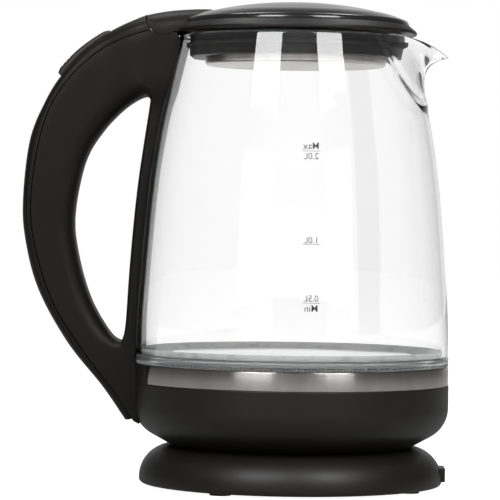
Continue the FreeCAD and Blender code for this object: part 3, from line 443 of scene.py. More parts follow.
collar_profile = [
    (COLLAR_INSIDE, collar_low.z + 0.05),
    (collar_radius - 0.6, collar_low.z + 0.05),
    (collar_radius - 0.2, collar_low.z + BEAD_FOOT),
    (collar_radius - 0.2, collar_low.z + BEAD_TOP),
    (collar_radius - 0.2, collar_low.z + 3.0),
    *arc(collar_radius - COLLAR_LIP, collar_high.z - COLLAR_LIP, COLLAR_LIP, 0, 90, 4),
    (COLLAR_INSIDE + LIP_WIDTH, collar_high.z),
    (COLLAR_INSIDE + LIP_WIDTH, collar_high.z - COLLAR_LIP),
    (COLLAR_INSIDE, collar_high.z - COLLAR_LIP),
]
collar = turned("clear_collar_ring", collar_profile, BEADS)
select_only(collar)
bpy.ops.object.mode_set(mode="EDIT")
bpy.ops.mesh.select_mode(type="FACE")
bpy.ops.mesh.select_all(action="DESELECT")
bpy.ops.object.mode_set(mode="OBJECT")
for face in collar.data.polygons:
    outwards = Vector((face.center.x, face.center.y, 0)).normalized().dot(face.normal) > 0.9
    at = face.center.z / MM - collar_low.z
    face.select = outwards and BEAD_FOOT < at < BEAD_TOP
bpy.ops.object.mode_set(mode="EDIT")
bpy.ops.mesh.inset(thickness=BEAD_EDGE * MM, depth=-BEAD_DEPTH * MM, use_individual=True)
bpy.ops.mesh.select_mode(type="VERT")
bpy.ops.object.mode_set(mode="OBJECT")
collar_clear = clear_moulding("clear_polycarbonate", "#f2f4f5", 0.02, 1.58, clear=0.9)
collar.data.shade_flat()
fitted(collar, collar_clear, "kettle", "clear_plastic", "clear_collar")

# ---- heating plate and what is under it -----------------------------------------------------------
# The floor of the jug: a drawn stainless steel plate with a raised disc, polished in rings, sealed to
# the glass with silicone. The aluminium spreader, the element and the controls sit under it.
plate_low, plate_high = box_mm("heating_plate")
DISC_RADIUS = 63.0
PLATE_WALL = 1.2
plate_top = plate_high.z
plate_profile = [
    (AXIS_GAP, plate_top - PLATE_WALL),
    (DISC_RADIUS - 1, plate_top - PLATE_WALL),
    (DISC_RADIUS, plate_low.z),
    (plate_high.x, plate_low.z),
    (plate_high.x, plate_low.z + PLATE_WALL),
    (DISC_RADIUS + 1.6, plate_low.z + PLATE_WALL),
    (DISC_RADIUS + 0.9, plate_low.z + PLATE_WALL + 0.1),
    (DISC_RADIUS + 0.3, plate_top - 0.3),
    (DISC_RADIUS - 0.4, plate_top - 0.05),
    (DISC_RADIUS - 1.2, plate_top),
    (30.0, plate_top),
    (AXIS_GAP, plate_top),
]
plate_steel = brushed_steel("drawn_stainless_plate", "#d6d5d3", "#dedddb", 0.08, "disc", 0.0012)
heating_plate = turned("heating_plate_disc", plate_profile)
fitted(eased(heating_plate, 0), plate_steel, "kettle", "plate_steel", "heating_plate")

silicone = wear_resistant_rubber("black_silicone", "#1a1918")
clear_silicone = wear_resistant_rubber("translucent_silicone", "#cfd1d0")
aluminium = worked_metal("cast_aluminium", "#b9bbbd", 0.5, 1.2, 0.03)
nylon = moulded_plastic("natural_nylon", "#b7b0a2", "#c6c0b4", 0.5)
carried_over(clear_silicone, "glass_seal")
carried_over(aluminium, "heat_spreader", "heating_element")
carried_over(zinc, "element_terminals", "control_studs", "bimetal_disc", "switch_pin")
carried_over(nylon, "control_unit", "switch_unit")
carried_over(silicone, "switch_lead")

# ---- glass jug ------------------------------------------------------------------------------------
# One piece of borosilicate glass, blown and then pressed at the rim into a deep V-shaped spout. The
# wall is even, the rim is fire-polished round, and the creases of the spout run down to a point.
glass_low, glass_high = box_mm("glass_body")
GLASS_WALL = 2.6
SPOUT_HALF_ANGLE = 47.0
SPOUT_FOOT, SPOUT_TIP = 200.5, 226.0
RIM_RADIUS = 61.3
CREASE_RIDGE, CREASE_WIDTH, CREASE_BEND = 0.7, 2.4, 3.4
LIP_SETBACK, LIP_CURL, KEEL_ROUND = 2.5, 3.0, 0.012
SWELL = ((69.0, 82.1), (87.0, 81.95), (111.5, 80.4), (136.0, 78.5), (160.0, 76.2), (184.6, 72.6),
         (201.5, 69.2), (219.3, 65.4), (228.0, 63.3), (236.0, 61.3))


def along_curve(points, at):
    """Height of a smooth curve through (across, up) points, at a place across."""
    last = len(points) - 2
    i = next((k for k in range(last + 1) if at <= points[k + 1][0]), last)
    before, after = points[max(i - 1, 0)], points[min(i + 2, last + 1)]
    (x0, y0), (x1, y1) = points[i], points[i + 1]
    span = x1 - x0
    slope0 = (y1 - before[1]) / (x1 - before[0])
    slope1 = (after[1] - y0) / (after[0] - x0)
    part = (at - x0) / span
    bend0, bend1 = (slope0 * span - (y1 - y0)), (-slope1 * span + (y1 - y0))
    return y0 + (y1 - y0) * part + part * (1 - part) * (bend0 * (1 - part) + bend1 * part)


def bezier(points, part):
    """A point on the cubic curve with these four guides."""
    weights = ((1 - part) ** 3, 3 * part * (1 - part) ** 2, 3 * part ** 2 * (1 - part), part ** 3)
    return sum((Vector(p) * w for p, w in zip(points, weights)), Vector((0, 0, 0)))


def spout_edge(share, inset):
    """Where the lip ends: share runs over the spout from -1 to 1, and 0 is its tip."""
    side = abs(share)
    blunt = math.sqrt(KEEL_ROUND)
    keel = (math.sqrt(side * side + KEEL_ROUND) - blunt) / (math.sqrt(1 + KEEL_ROUND) - blunt)
    root_x = (RIM_RADIUS - inset) * math.cos(math.radians(SPOUT_HALF_ANGLE))
    root_y = (RIM_RADIUS - inset) * math.sin(math.radians(SPOUT_HALF_ANGLE))
    tip_x = glass_high.x - LIP_SETBACK - inset * 0.7
    x = tip_x + (root_x - tip_x) * keel
    drop = (glass_high.z - SPOUT_TIP) * max((x - root_x) / (tip_x - root_x), 0) ** LIP_CURL
    return Vector((x, share * root_y, glass_high.z - drop))


def jug_point(angle, height, inset):
    """A point on the jug's wall, set in from its outer surface, at an angle in degrees from the
    spout. Above the crease it leans out to the lip; the crease itself is a low ridge outside."""
    radius = along_curve(SWELL, height) - inset
    share = angle / SPOUT_HALF_ANGLE
    turn = math.radians(angle)
    crease = SPOUT_FOOT + inset * 0.9 + (glass_high.z - SPOUT_FOOT) * abs(share) ** CREASE_BEND
    near_crease = (height - crease) / CREASE_WIDTH if abs(share) < 1.05 else 9
    ridge = CREASE_RIDGE * math.exp(-near_crease ** 2) if inset == 0 else 0.0
    radius += ridge
    if abs(share) >= 1 or height <= crease:
        return (radius * math.cos(turn), radius * math.sin(turn), height)
    part = (height - crease) / (glass_high.z - crease)
    root = along_curve(SWELL, crease) - inset
    flat = Vector((root * math.cos(turn), root * math.sin(turn), 0))
    edge = spout_edge(share, inset)
    rise = edge.z - crease
    hollow, pinch = 1 - abs(share), math.sin(math.pi * abs(share))
    guides = (
        flat + Vector((0, 0, crease)),
        flat * (1 - 0.03 * hollow - 0.035 * pinch) + Vector((0, 0, crease + 0.56 * rise)),
        flat * (1 - 0.054 * hollow - 0.03 * pinch) + Vector((0, 0, crease + 0.88 * rise)),
        edge,
    )
    point = bezier(guides, part)
    return (point.x + ridge * math.cos(turn), point.y + ridge * math.sin(turn), point.z)


AROUND_JUG, BODY_RINGS, NECK_RINGS = 320, 34, 44
NECK_LEVEL, RIM_ROUND = 196, 0.9
RIM_STEPS = ((0.25, 0.35), (0.75, 0.05), (1.3, 0.0), (1.85, 0.05), (2.35, 0.35))
jug_angles = [(360 * i / AROUND_JUG + 180) % 360 - 180 for i in range(AROUND_JUG)]
jug_heights = [glass_low.z + (NECK_LEVEL - glass_low.z) * i / BODY_RINGS for i in range(BODY_RINGS + 1)]
jug_heights += [NECK_LEVEL + (glass_high.z - RIM_ROUND - NECK_LEVEL) * i / NECK_RINGS
                for i in range(1, NECK_RINGS + 1)]
jug_rings = [[jug_point(a, height, 0.0) for a in jug_angles] for height in jug_heights]
for inset, down in RIM_STEPS:
    rim = [Vector(jug_point(a, glass_high.z - 0.01, inset)) for a in jug_angles]
    jug_rings.append([tuple(p - Vector((0, 0, down))) for p in rim])
jug_rings += [[jug_point(a, height, GLASS_WALL) for a in jug_angles] for height in reversed(jug_heights)]
jug = eased(ringed("glass_jug", jug_rings), 0, smooth=50)
jug_glass = clear_moulding("borosilicate_glass", "#fefefe", 0.0, 1.47, 30.0, 0.02)
fitted(jug, jug_glass, "kettle", "jug_glass", "glass_body")

# ---- level marks ----------------------------------------------------------------------------------
# The water scale, screen printed in black enamel on the outside of the jug's far wall, opposite to
# the side that faces the front, and read from behind the kettle.
MARK_ANGLE = 82.5
MARK_SIZE, MARK_BOLD, INK = 4.2, 0.015, 0.06
MARK_WORDS = (("Max", 178.9, 1.3), ("2.0L", 173.4, 1.2), ("1.0L", 126.8, 1.2), ("0.5L", 94.4, 1.2),
              ("Min", 88.7, 1.3))
MARK_LINES, LINE_LENGTH, LINE_WIDTH = (177.9, 126.2, 93.5), 10.4, 0.26
marks = []
for words, height, scale in MARK_WORDS:
    bpy.ops.object.select_all(action="DESELECT")
    bpy.ops.object.text_add(location=(0, 0, 0))
    mark = bpy.context.object
    mark.data.body = words
    mark.data.size = MARK_SIZE * scale * MM
    mark.data.align_x = "CENTER"
    mark.data.offset = (MARK_BOLD if words[0] == "M" else 0.0) * MM
    bpy.ops.object.convert(target="MESH")
    mark = bpy.context.object
    bpy.ops.object.mode_set(mode="EDIT")
    bpy.ops.mesh.select_all(action="SELECT")
    bpy.ops.mesh.quads_convert_to_tris()
    bpy.ops.object.mode_set(mode="OBJECT")
    for vertex in mark.data.vertices:
        vertex.co.y += height * MM
    marks.append(mark)
for height in MARK_LINES:
    bpy.ops.mesh.primitive_grid_add(x_subdivisions=12, y_subdivisions=1, size=1)
    mark = bpy.context.object
    for vertex in mark.data.vertices:
        vertex.co = Vector((vertex.co.x * LINE_LENGTH * MM,
                            vertex.co.y * LINE_WIDTH * MM + height * MM, 0))
    marks.append(mark)
bpy.ops.object.select_all(action="DESELECT")
for mark in marks:
    mark.select_set(True)
bpy.context.view_layer.objects.active = marks[0]
bpy.ops.object.join()
level_marks = bpy.context.object
level_marks.name = level_marks.data.name = "level_marks"
for vertex in level_marks.data.vertices:
    height = vertex.co.y / MM
    radius = along_curve(SWELL, height) + INK
    turn = math.radians(MARK_ANGLE) + vertex.co.x / MM / radius
    vertex.co = Vector((radius * math.cos(turn), radius * math.sin(turn), height)) * MM
mark_print = moulded_plastic("screen_printed_enamel", "#141414", "#2a2a2a", 0.5, 0.2, 0.004)
level_marks.data.materials.clear()
level_marks.data.materials.append(mark_print)
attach(level_marks, "kettle")

# ---- handle body ----------------------------------------------------------------------------------
# The black handle behind the jug: one ABS moulding with a rounded loop grip, a strap that lies against
# the glass, a head that carries the lid's hinge and a foot that is screwed to the housing.
HEAD_LEVEL = 236.8
FOOT_LEVEL = 31.95
PARTING = ((-79.0, 236.8), (-100.4, 228.1), (-119.8, 210.3), (-131.5, 187.4), (-137.3, 151.8),
           (-135.4, 126.4), (-125.1, 94.8), (-107.2, 67.3), (-91.4, 47.1), (-83.2, 34.5))
FINGER_SIDE = ((-75.4, 202.1), (-79.3, 203.8), (-89.4, 197.4), (-101.2, 184.8), (-110.3, 168.5),
               (-115.4, 141.4), (-113.5, 121.1), (-106.6, 97.6), (-95.8, 79.0), (-89.4, 74.2))
STRAP_SIDE = ((-89.4, 74.2), (-87.2, 84.0), (-85.3, 115.4), (-81.7, 156.6), (-75.4, 202.1))
JUG_FRONT = ((31.9, 78.8), (37.0, 81.6), (42.0, 82.4), (62.0, 82.4), (64.5, 82.9), (70.0, 82.5))
GRIP_HALF, HEAD_HALF = 15.5, 20.0
GLASS_GAP = 0.3
BACK_STEPS, FRONT_STEPS = 90, 48


def level(pairs, at):
    """The value at a place between (place, value) pairs, on straight lines, and flat past the ends."""
    if at <= pairs[0][0]:
        return pairs[0][1]
    for (x0, y0), (x1, y1) in zip(pairs, pairs[1:]):
        if at <= x1:
            return y0 + (y1 - y0) * (at - x0) / (x1 - x0)
    return pairs[-1][1]


def even(count):
    """This many shares, evenly spaced from 0 to 1."""
    return [i / (count - 1) for i in range(count)]


def smooth_line(points, shares):
    """The points at these shares of the length of a smooth line through the given (x, z) points."""
    points = [Vector(p) for p in points]
    ends = [points[0] * 2 - points[1], *points, points[-1] * 2 - points[-2]]
    dense = []
    for a, b, c, d in zip(ends, ends[1:], ends[2:], ends[3:]):
        for k in (i / 24 for i in range(24)):
            dense.append(b + (c - a) * k / 2 + (a * 2 - b * 5 + c * 4 - d) * k * k / 2
                         + (b * 3 - a - c * 3 + d) * k ** 3 / 2)
    dense.append(points[-1])
    lengths = [0.0]
    for a, b in zip(dense, dense[1:]):
        lengths.append(lengths[-1] + (b - a).length)
    across, up = ([(length, point[axis]) for length, point in zip(lengths, dense)] for axis in (0, 1))
    return [Vector((level(across, lengths[-1] * share), level(up, lengths[-1] * share)))
            for share in shares]


def jug_side(height):
    """How far from the axis the handle's front stands at a height: on the housing, or just off the
    glass."""
    if height > JUG_FRONT[-1][0]:
        return along_curve(SWELL, height) + GLASS_GAP
    return level(JUG_FRONT, height)


def eased_step(low, high, at):
    """0 up to the low place, 1 from the high one on, and a smooth rise between."""
    part = min(max((at - low) / (high - low), 0), 1)
    return part * part * (3 - 2 * part)


def half_width(x, z):
    """Half the handle's width, which flares from the grip to the head beside the lid."""
    return GRIP_HALF + (HEAD_HALF - GRIP_HALF) * eased_step(-103, -79, x) * eased_step(196, 210, z)


back_shares = even(BACK_STEPS)
finger_shares = [level(((0, 0), (0.153, 0.06), (0.832, 0.93), (1, 1)), share) for share in back_shares]
front_shares = even(FRONT_STEPS + 2)[1:-1]
strap_shares = [level(((0, 0), (0.237, 0.06), (0.81, 0.95), (1, 1)), share) for share in front_shares]
front_levels = [FOOT_LEVEL + (HEAD_LEVEL - FOOT_LEVEL) * share for share in front_shares]
loop_outer = smooth_line([(-RIM_RADIUS - GLASS_GAP, HEAD_LEVEL), (-70.0, HEAD_LEVEL), *PARTING,
                          (-79.4, FOOT_LEVEL)], back_shares)
loop_outer += [Vector((-jug_side(up), up)) for up in front_levels]
loop_inner = smooth_line(FINGER_SIDE, finger_shares) + smooth_line(STRAP_SIDE, strap_shares)
jug_hold = [max((point.x + 75) / 13.4, 0) if point.y > HEAD_LEVEL - 1 else 0
            for point in loop_outer[:BACK_STEPS]]
jug_hold += [1] * FRONT_STEPS
grip_rounds = [(0, 2.2), (0.10, 7.5), (0.25, 9.0), (0.80, 9.0), (0.94, 5.0), (1, 2.2)]
inner_rounds = [level(grip_rounds, share) for share in back_shares] + [2.2] * FRONT_STEPS
outer_rounds = [0.5] * BACK_STEPS + [1.2] * FRONT_STEPS


def skin_point(i, edge, across, turn, share):
    """A point of the handle's skin at the i-th pair of its outer and inner lines. The edge is the
    outer or inner one or the side between them, across runs from -1 to 1 over the width, turn is the
    angle round an edge's rounding, and share is how far down the side it is."""
    outer, inner = loop_outer[i], loop_inner[i]
    gap = (inner - outer).length
    radius = {"outer": outer_rounds[i], "inner": inner_rounds[i], "side": 0.0}[edge]
    short, inset = radius * (1 - math.sin(turn)), radius * (1 - math.cos(turn))
    depth = {"outer": inset, "inner": gap - inset,
             "side": outer_rounds[i] + (gap - outer_rounds[i] - inner_rounds[i]) * share}[edge]
    flat = outer.lerp(inner, depth / gap)
    y = across * (half_width(flat.x, flat.y) - short)
    wall = jug_side(outer.y)
    x = flat.x + jug_hold[i] * (1 - depth / gap) * (wall - math.sqrt(wall * wall - y * y))
    return (x, y, flat.y)


def quarter(steps):
    """The angles of a quarter turn in even steps."""
    return [math.pi / 2 * i / steps for i in range(steps + 1)]


stations = [("outer", -1, turn, 0) for turn in reversed(quarter(3))]
stations += [("outer", across / 4, 0, 0) for across in range(-3, 4)]
stations += [("outer", 1, turn, 0) for turn in quarter(3)]
stations += [("side", 1, 0, share / 5) for share in range(1, 5)]
stations += [("inner", 1, turn, 0) for turn in reversed(quarter(9))]
stations += [("inner", across / 2, 0, 0) for across in (1, 0, -1)]
stations += [("inner", -1, turn, 0) for turn in quarter(9)]
stations += [("side", -1, 0, share / 5) for share in range(4, 0, -1)]
handle_rings = [[skin_point(i, *station) for i in range(len(loop_outer))] for station in stations]
HINGE = Vector((-69.0, 0, 245.0))
KNUCKLE, SOCKET = 9.3, 9.6


def hinge_tool():
    """The round space in the handle's head that the lid's knuckle turns in."""
    bpy.ops.object.select_all(action="DESELECT")
    bpy.ops.mesh.primitive_cylinder_add(vertices=128, radius=SOCKET * MM, depth=60 * MM,
                                        location=HINGE * MM, rotation=(math.pi / 2, 0, 0))
    return bpy.context.object


handle_abs = moulded_plastic("satin_black_abs_handle", "#0b0a08", "#0f0d0c", 0.48, shine=0.13)
handle = cut_away(ringed("handle_loop", handle_rings), hinge_tool())
eased(handle, 0, smooth=40)
fitted(handle, handle_abs, "kettle", "handle_plastic", "handle_body")

# ---- handle cover ---------------------------------------------------------------------------------
# The long back shell of the handle, clipped on after the wires are laid: an ABS moulding of the same
# width, crowned across, with a fine shadow line where it meets the body and a window for the rocker.
BACK = ((-81.8, 245.2), (-97.6, 237.7), (-111.7, 227.3), (-122.8, 214.7), (-131.0, 201.2),
        (-139.2, 180.4), (-142.5, 149.4), (-141.0, 127.5), (-133.9, 101.7), (-118.3, 74.0),
        (-99.8, 51.4), (-87.4, 33.9))
SEAM = 0.35
CROWN_POWER = 2.7
SECTION_STEPS = 26


def crowned_section(low, high, half, power, lip=SEAM):
    """A closed section across the handle, crowned from its low edge to its high middle, as (x, y, z)."""
    section = []
    for i in range(SECTION_STEPS + 1):
        turn = math.pi * i / SECTION_STEPS
        wide = math.copysign(abs(math.cos(turn)) ** (2 / power), math.cos(turn))
        point = low.lerp(high, max(math.sin(turn), 0) ** (2 / power))
        section.append((point.x, half * wide, point.y))
    for i in range(9):
        section.append((low.x, (i / 4 - 1) * (half - lip), low.y))
    return section


cover_shares = even(110)
cover_low = smooth_line([(-73.0, HEAD_LEVEL), *PARTING], cover_shares)
cover_high = smooth_line([(-75.0, 247.2), *BACK], cover_shares)
cover_rings = []
for low, high in zip(cover_low, cover_high):
    lifted = low.lerp(high, SEAM / (high - low).length)
    cover_rings.append(crowned_section(lifted, high, half_width(low.x, low.y), CROWN_POWER))
handle_cover = ringed("handle_cover_shell", cover_rings, closed=False)
outward = Vector((-0.674, 0.739))
along_rocker = Vector((0.739, 0.674))
ROCKER_PIVOT = Vector((-108.63, 223.93))
ROCKER_REACH, ROCKER_HALF = 17.6, 8.5
WINDOW_GAP, WINDOW_SIDE_GAP = 0.5, 0.4
bpy.ops.object.select_all(action="DESELECT")
bpy.ops.mesh.primitive_cylinder_add(
    vertices=96, radius=(ROCKER_REACH + WINDOW_GAP) * MM,
    depth=2 * (ROCKER_HALF + WINDOW_SIDE_GAP) * MM,
    location=(ROCKER_PIVOT.x * MM, 0, ROCKER_PIVOT.y * MM), rotation=(math.pi / 2, 0, 0),
)
cut_away(handle_cover, bpy.context.object, hinge_tool())
fitted(eased(handle_cover, 0, smooth=40), handle_abs, "kettle", "handle_plastic", "handle_cover")

# ---- power switch ---------------------------------------------------------------------------------
# The on and off rocker on the back of the handle's head: a slim ABS paddle, proud of the shell and
# higher at its low end, where a thumb presses it, with rounded edges and three grip lines.
ROCKER_THICKNESS, ROCKER_RISE, ROCKER_TILT = 2.4, 2.25, 0.75
ROCKER_END, END_DROP = 0.14, 0.9
GRIP_LINE, GRIP_LINES = 0.25, (5, 8, 11)
back_shape = [((point - ROCKER_PIVOT).dot(along_rocker), (point - ROCKER_PIVOT).dot(outward))
              for point in smooth_line(BACK[:6], even(60))]
back_shape.sort()
rocker_rings = []
for i in range(41):
    at = (ROCKER_REACH - 0.1) * (i / 20 - 1)
    skin = level(back_shape, at)
    fall = END_DROP * max(abs(i / 20 - 1) - (1 - ROCKER_END), 0) / ROCKER_END
    rise = ROCKER_RISE - ROCKER_TILT * at / ROCKER_REACH - fall - (GRIP_LINE if i in GRIP_LINES else 0)
    low = ROCKER_PIVOT + along_rocker * at + outward * max(skin - ROCKER_THICKNESS, 0.5)
    high = ROCKER_PIVOT + along_rocker * at + outward * (skin + rise)
    rocker_rings.append(crowned_section(low, high, ROCKER_HALF, 6.0, 0.2))
rocker = ringed("rocker_paddle", rocker_rings, closed=False)
switch_abs = moulded_plastic("satin_black_abs_switch", "#110f0d", "#171513", 0.42)
fitted(eased(rocker, 0, smooth=40), switch_abs, "power_switch", "switch_plastic", "power_switch")

# ---- hinge arm ------------------------------------------------------------------------------------
# The lid's arm: a low black bridge from the handle's head on to the dome, hinged in the head, with its
# top edges rounded over.
ARM_HALF, ARM_STEPS = 19.0, 60
ARM_END, END_ROUND = 2.5, 1.2
ARM_UNDERSIDE = HEAD_LEVEL + 0.5
arm_low, arm_high = box_mm("hinge_arm")
ARM_TOP = ((-78.3, 246.2), (-75.5, 247.1), (-69.1, 248.4), (-62.9, 249.2), (-56.5, 249.7),
           (-50.1, 250.0), (-42.1, 249.9))
arm_rings = []
for i in range(ARM_STEPS + 1):
    x = arm_low.x + (arm_high.x - arm_low.x) * i / ARM_STEPS
    end_round = END_ROUND * max(1 - (arm_high.x - x) / ARM_END, 0) ** 2
    under_knuckle = HINGE.z - math.sqrt(max(KNUCKLE ** 2 - (x - HINGE.x) ** 2, 0))
    bottom = under_knuckle if x <= HINGE.x else min(under_knuckle, ARM_UNDERSIDE)
    over_knuckle = HINGE.z + math.sqrt(KNUCKLE ** 2 - min(x - HINGE.x, 0) ** 2 + 2.5)
    top = min(along_curve(ARM_TOP, x) - end_round, over_knuckle)
    arm_rings.append(crowned_section(Vector((x, bottom)), Vector((x, top)), ARM_HALF, CROWN_POWER))
hinge_arm = ringed("hinge_bridge", arm_rings, closed=False)
fitted(eased(hinge_arm, 0, smooth=40), handle_abs, "lid", "handle_plastic", "hinge_arm")

# ---- hinge pin ------------------------------------------------------------------------------------
# The lid turns on a zinc-plated steel pin with broken ends, sunk in the arm so that it doesn't show.
PIN_RADIUS, PIN_HALF = 1.25, 13.5
bpy.ops.object.select_all(action="DESELECT")
bpy.ops.mesh.primitive_cylinder_add(vertices=48, radius=PIN_RADIUS * MM, depth=2 * PIN_HALF * MM,
                                    location=HINGE * MM, rotation=(math.pi / 2, 0, 0))
hinge_pin = bpy.context.object
hinge_pin.name = hinge_pin.data.name = "hinge_pin_rod"
bpy.ops.object.transform_apply(location=True, rotation=True, scale=True)
fitted(eased(hinge_pin, 0.3), zinc, "kettle", "steel", "hinge_pin")

# ---- lid body -------------------------------------------------------------------------------------
# The black plug of the lid: an ABS moulding with a bevelled rim that rests over the jug's mouth and a
# skirt inside the neck, cut on a slant at the hinge side, which carries a silicone seal.
LID_RADIUS = 63.7
DOME_RADIUS = 59.6
SKIRT_RADIUS, SKIRT_WALL = 55.8, 2.2
RIM_LEVEL, RIM_HEIGHT = 237.3, 5.0
rim_top = RIM_LEVEL + RIM_HEIGHT
SKIRT_FOOT, SKIRT_FLOOR = 224.4, 2
SLANT_PLACE, SLANT_FACING = Vector((-62, 0, 232)), (-6.8, 0, -13)
lid_profile = [
    (SKIRT_RADIUS - 0.6, SKIRT_FOOT),
    *arc(SKIRT_RADIUS - 0.8, SKIRT_FOOT + 0.8, 0.8, -90, 0, 3),
    (SKIRT_RADIUS, RIM_LEVEL - 0.4),
    (SKIRT_RADIUS + 0.4, RIM_LEVEL),
    (LID_RADIUS - 0.6, RIM_LEVEL),
    *arc(LID_RADIUS - 0.6, RIM_LEVEL + 0.6, 0.6, -90, 0, 4),
    *arc(LID_RADIUS - 1.0, RIM_LEVEL + 1.2, 1.0, 0, 44, 6),
    (DOME_RADIUS + 0.6, rim_top - 0.5),
    (DOME_RADIUS + 0.2, rim_top - 0.1),
    (DOME_RADIUS - 2.6, rim_top - 0.4),
    (SKIRT_RADIUS - SKIRT_WALL, rim_top - 2),
    (SKIRT_RADIUS - SKIRT_WALL, SKIRT_FOOT + SKIRT_FLOOR),
    (AXIS_GAP, SKIRT_FOOT + SKIRT_FLOOR),
    (AXIS_GAP, SKIRT_FOOT),
    (SKIRT_RADIUS - 3, SKIRT_FOOT),
]
lid_body = turned("lid_plug", lid_profile)
select_only(lid_body)
bpy.ops.object.mode_set(mode="EDIT")
bpy.ops.mesh.select_all(action="SELECT")
bpy.ops.mesh.bisect(plane_co=SLANT_PLACE * MM, plane_no=SLANT_FACING, use_fill=True,
                    clear_outer=True)
bpy.ops.object.mode_set(mode="OBJECT")
lid_abs = moulded_plastic("satin_black_abs_lid", "#0e0c0b", "#131110", 0.42)
fitted(eased(lid_body, 0, smooth=40), lid_abs, "lid", "lid_plastic", "lid_body")
carried_over(silicone, "lid_seal")
carried_over(zinc, "lid_screws")

# ---- lid cover ------------------------------------------------------------------------------------
# The smooth dome on top of the lid: a glossier ABS moulding, clipped into the rim, that rises in a
# tight curve at its edge and runs on nearly flat to the middle.
LID_TOP = 253.8
DOME_SHOULDER, SHOULDER_CURVE, DOME_CURVE = (45.4, 248.8), 45.0, 183.0
DOME_EDGE = 3.0


def bulge(start, end, radius, steps):
    """Points on the arc of that radius from one point to another, bowed up."""
    start, end = Vector(start), Vector(end)
    half = (end - start) / 2
    square = Vector((half.y, -half.x)).normalized()
    if square.y > 0:
        square = -square
    centre = (start + end) / 2 + square * math.sqrt(max(radius ** 2 - half.length_squared, 0))
    first = math.atan2(start.y - centre.y, start.x - centre.x)
    last = math.atan2(end.y - centre.y, end.x - centre.x)
    return [(centre.x + radius * math.cos(first + (last - first) * i / steps),
             centre.y + radius * math.sin(first + (last - first) * i / steps)) for i in range(steps + 1)]


dome_profile = [
    (DOME_RADIUS - 0.2, rim_top - 0.6),
    *arc(DOME_RADIUS - DOME_EDGE, rim_top, DOME_EDGE, -4, 56, 12),
    *bulge((DOME_RADIUS - 2.6, rim_top + 2.9), DOME_SHOULDER, SHOULDER_CURVE, 10),
    *bulge(DOME_SHOULDER, (3.0, LID_TOP), DOME_CURVE, 12)[1:],
    (AXIS_GAP, LID_TOP),
    (AXIS_GAP, LID_TOP - 2),
    (44.0, 246.6),
    (DOME_RADIUS - 2.4, rim_top - 0.6),
]
dome_abs = moulded_plastic("semi_gloss_black_abs_dome", "#161515", "#1b1a1a", 0.17, shine=0.42)
lid_dome = eased(turned("lid_dome", dome_profile), 0, smooth=40)
fitted(lid_dome, dome_abs, "lid", "lid_plastic", "lid_cover")

# ---- lid plate ------------------------------------------------------------------------------------
# The shallow pan under the lid that turns the steam back: drawn from stainless sheet with a rounded
# edge, and finished in fine rings.
PAN_RADIUS, PAN_FOOT, PAN_SHEET, PAN_CORNER = 47.5, 220.5, 0.8, 1.5
pan_profile = [
    (AXIS_GAP, PAN_FOOT),
    *arc(PAN_RADIUS - PAN_CORNER, PAN_FOOT + PAN_CORNER, PAN_CORNER, -90, 0, 6),
    (PAN_RADIUS, SKIRT_FOOT - 0.05),
    (PAN_RADIUS - PAN_SHEET, SKIRT_FOOT - 0.05),
    *arc(PAN_RADIUS - PAN_CORNER, PAN_FOOT + PAN_CORNER, PAN_CORNER - PAN_SHEET, 0, -90, 4),
    (AXIS_GAP, PAN_FOOT + PAN_SHEET),
]
pan_steel = brushed_steel("drawn_stainless_pan", "#93918f", "#a6a4a1", 0.3, "disc")
lid_pan = eased(turned("lid_pan", pan_profile), 0, smooth=40)
fitted(lid_pan, pan_steel, "lid", "plate_steel", "lid_plate")

# ---- floor, light and camera ----------------------------------------------------------------------
# A white table in soft studio light: two square windows of light high in front, three dim low ones,
# two small ones behind, and a white surround that shows through the glass.
bpy.ops.object.select_all(action="DESELECT")
bpy.ops.mesh.primitive_plane_add(size=12, location=(0, 0, 0))
floor = bpy.context.object
floor.name = floor.data.name = "floor"
floor_white, tree, shader, place = new_material("floor_white", {
    "Base Color": colour("#9a9a9a"), "Roughness": 0.9, "Specular IOR Level": 0.1,
    "Emission Color": colour("#ffffff"),
})
floor_path = add_node(tree, "LightPath", {}, {})
seen = add_node(tree, "Math", {"operation": "MAXIMUM"},
                {0: floor_path.outputs["Is Camera Ray"], 1: floor_path.outputs["Is Transmission Ray"]})
glow = add_node(tree, "MapRange", {"To Min": 0.1, "To Max": 0.96}, {"Value": seen.outputs[0]})
tree.links.new(glow.outputs["Result"], shader.inputs["Emission Strength"])
floor.data.materials.append(floor_white)

world = bpy.data.worlds.new("surround")
bpy.context.scene.world = world
world.use_nodes = True
tree = world.node_tree
background = tree.nodes["Background"]
background.inputs["Color"].default_value = (1, 1, 1, 1)
path = add_node(tree, "LightPath", {}, {})
straight = add_node(tree, "Math", {"operation": "MAXIMUM"},
                    {0: path.outputs["Is Camera Ray"], 1: path.outputs["Is Transmission Ray"]})
heading = add_node(tree, "SeparateXYZ", {}, {0: add_node(tree, "TexCoord", {}, {}).outputs["Generated"]})
either_way = add_node(tree, "Math", {"operation": "ABSOLUTE"}, {0: heading.outputs["Y"]})
bent = add_node(tree, "MapRange", {"From Min": 0.7, "From Max": 0.95, "To Min": 0.1, "To Max": 1.0},
                {"Value": either_way.outputs[0]})
through = add_node(tree, "Math", {"operation": "MAXIMUM"},
                   {0: path.outputs["Is Camera Ray"], 1: bent.outputs["Result"]})
mirrored = add_node(tree, "MapRange",
                    {"From Min": 0.78, "From Max": 0.985, "To Min": 0.12, "To Max": 0.85},
                    {"Value": heading.outputs["Y"]})
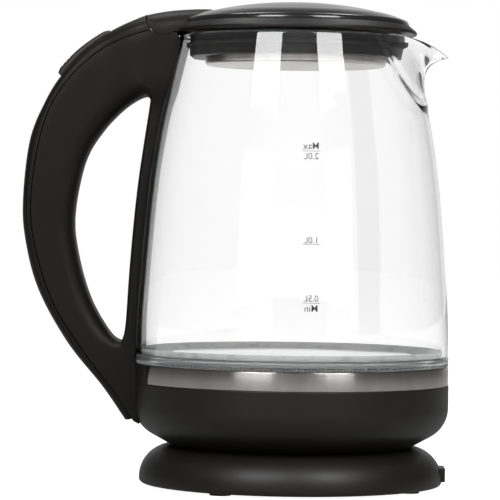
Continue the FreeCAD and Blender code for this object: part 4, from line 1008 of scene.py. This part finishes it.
strength = add_node(tree, "Mix", {}, {0: straight.outputs[0], 2: mirrored.outputs["Result"],
                                      3: through.outputs[0]})
tree.links.new(strength.outputs[0], background.inputs["Strength"])


def soft_light(name, azimuth, distance, height, width, tall, power, aim):
    """A flat rectangular light at an azimuth from the front, turned towards a height on the axis."""
    light = bpy.data.lights.new(name, "AREA")
    light.shape = "RECTANGLE"
    light.size, light.size_y = width, tall
    light.energy = power
    holder = bpy.data.objects.new(name, light)
    bpy.context.scene.collection.objects.link(holder)
    turn = math.radians(azimuth)
    holder.location = (distance * math.sin(turn), -distance * math.cos(turn), height)
    holder.rotation_euler = (Vector((0, 0, aim)) - holder.location).to_track_quat("-Z", "Y").to_euler()
    holder.visible_camera = holder.visible_transmission = False


soft_light("window_left", -27, 1.25, 1.12, 0.62, 0.68, 24, 0.2)
soft_light("window_right", 34.4, 1.25, 1.12, 0.62, 0.68, 24, 0.2)
soft_light("low_left", -27, 1.25, 0.3, 0.6, 0.5, 1.1, 0.1)
soft_light("low_right", 34.4, 1.25, 0.3, 0.45, 0.5, 0.9, 0.1)
soft_light("low_front", 0, 1.5, 0.25, 2.4, 0.3, 0.9, 0.1)
soft_light("back_left", 209, 0.62, 1.35, 0.4, 0.3, 5, 0.24)
soft_light("back_right", 148, 0.62, 1.35, 0.4, 0.3, 5, 0.24)

CAMERA_PLACE, CAMERA_AIM = Vector((0, -1.485, 0.1416)), Vector((-0.0227, 0, 0.1236))
CAMERA_ROLL, FOCAL_LENGTH = 0.75, 202.7
lens = bpy.data.cameras.new("camera")
lens.sensor_width = 36
lens.lens = FOCAL_LENGTH
lens.clip_start, lens.clip_end = 0.05, 50
camera = bpy.data.objects.new("camera", lens)
bpy.context.scene.collection.objects.link(camera)
camera.location = CAMERA_PLACE
sight = (CAMERA_AIM - CAMERA_PLACE).to_track_quat("-Z", "Y")
camera.rotation_euler = (sight @ Quaternion((0, 0, 1), math.radians(CAMERA_ROLL))).to_euler()
bpy.context.scene.camera = camera
bpy.context.scene.view_settings.view_transform = "Standard"
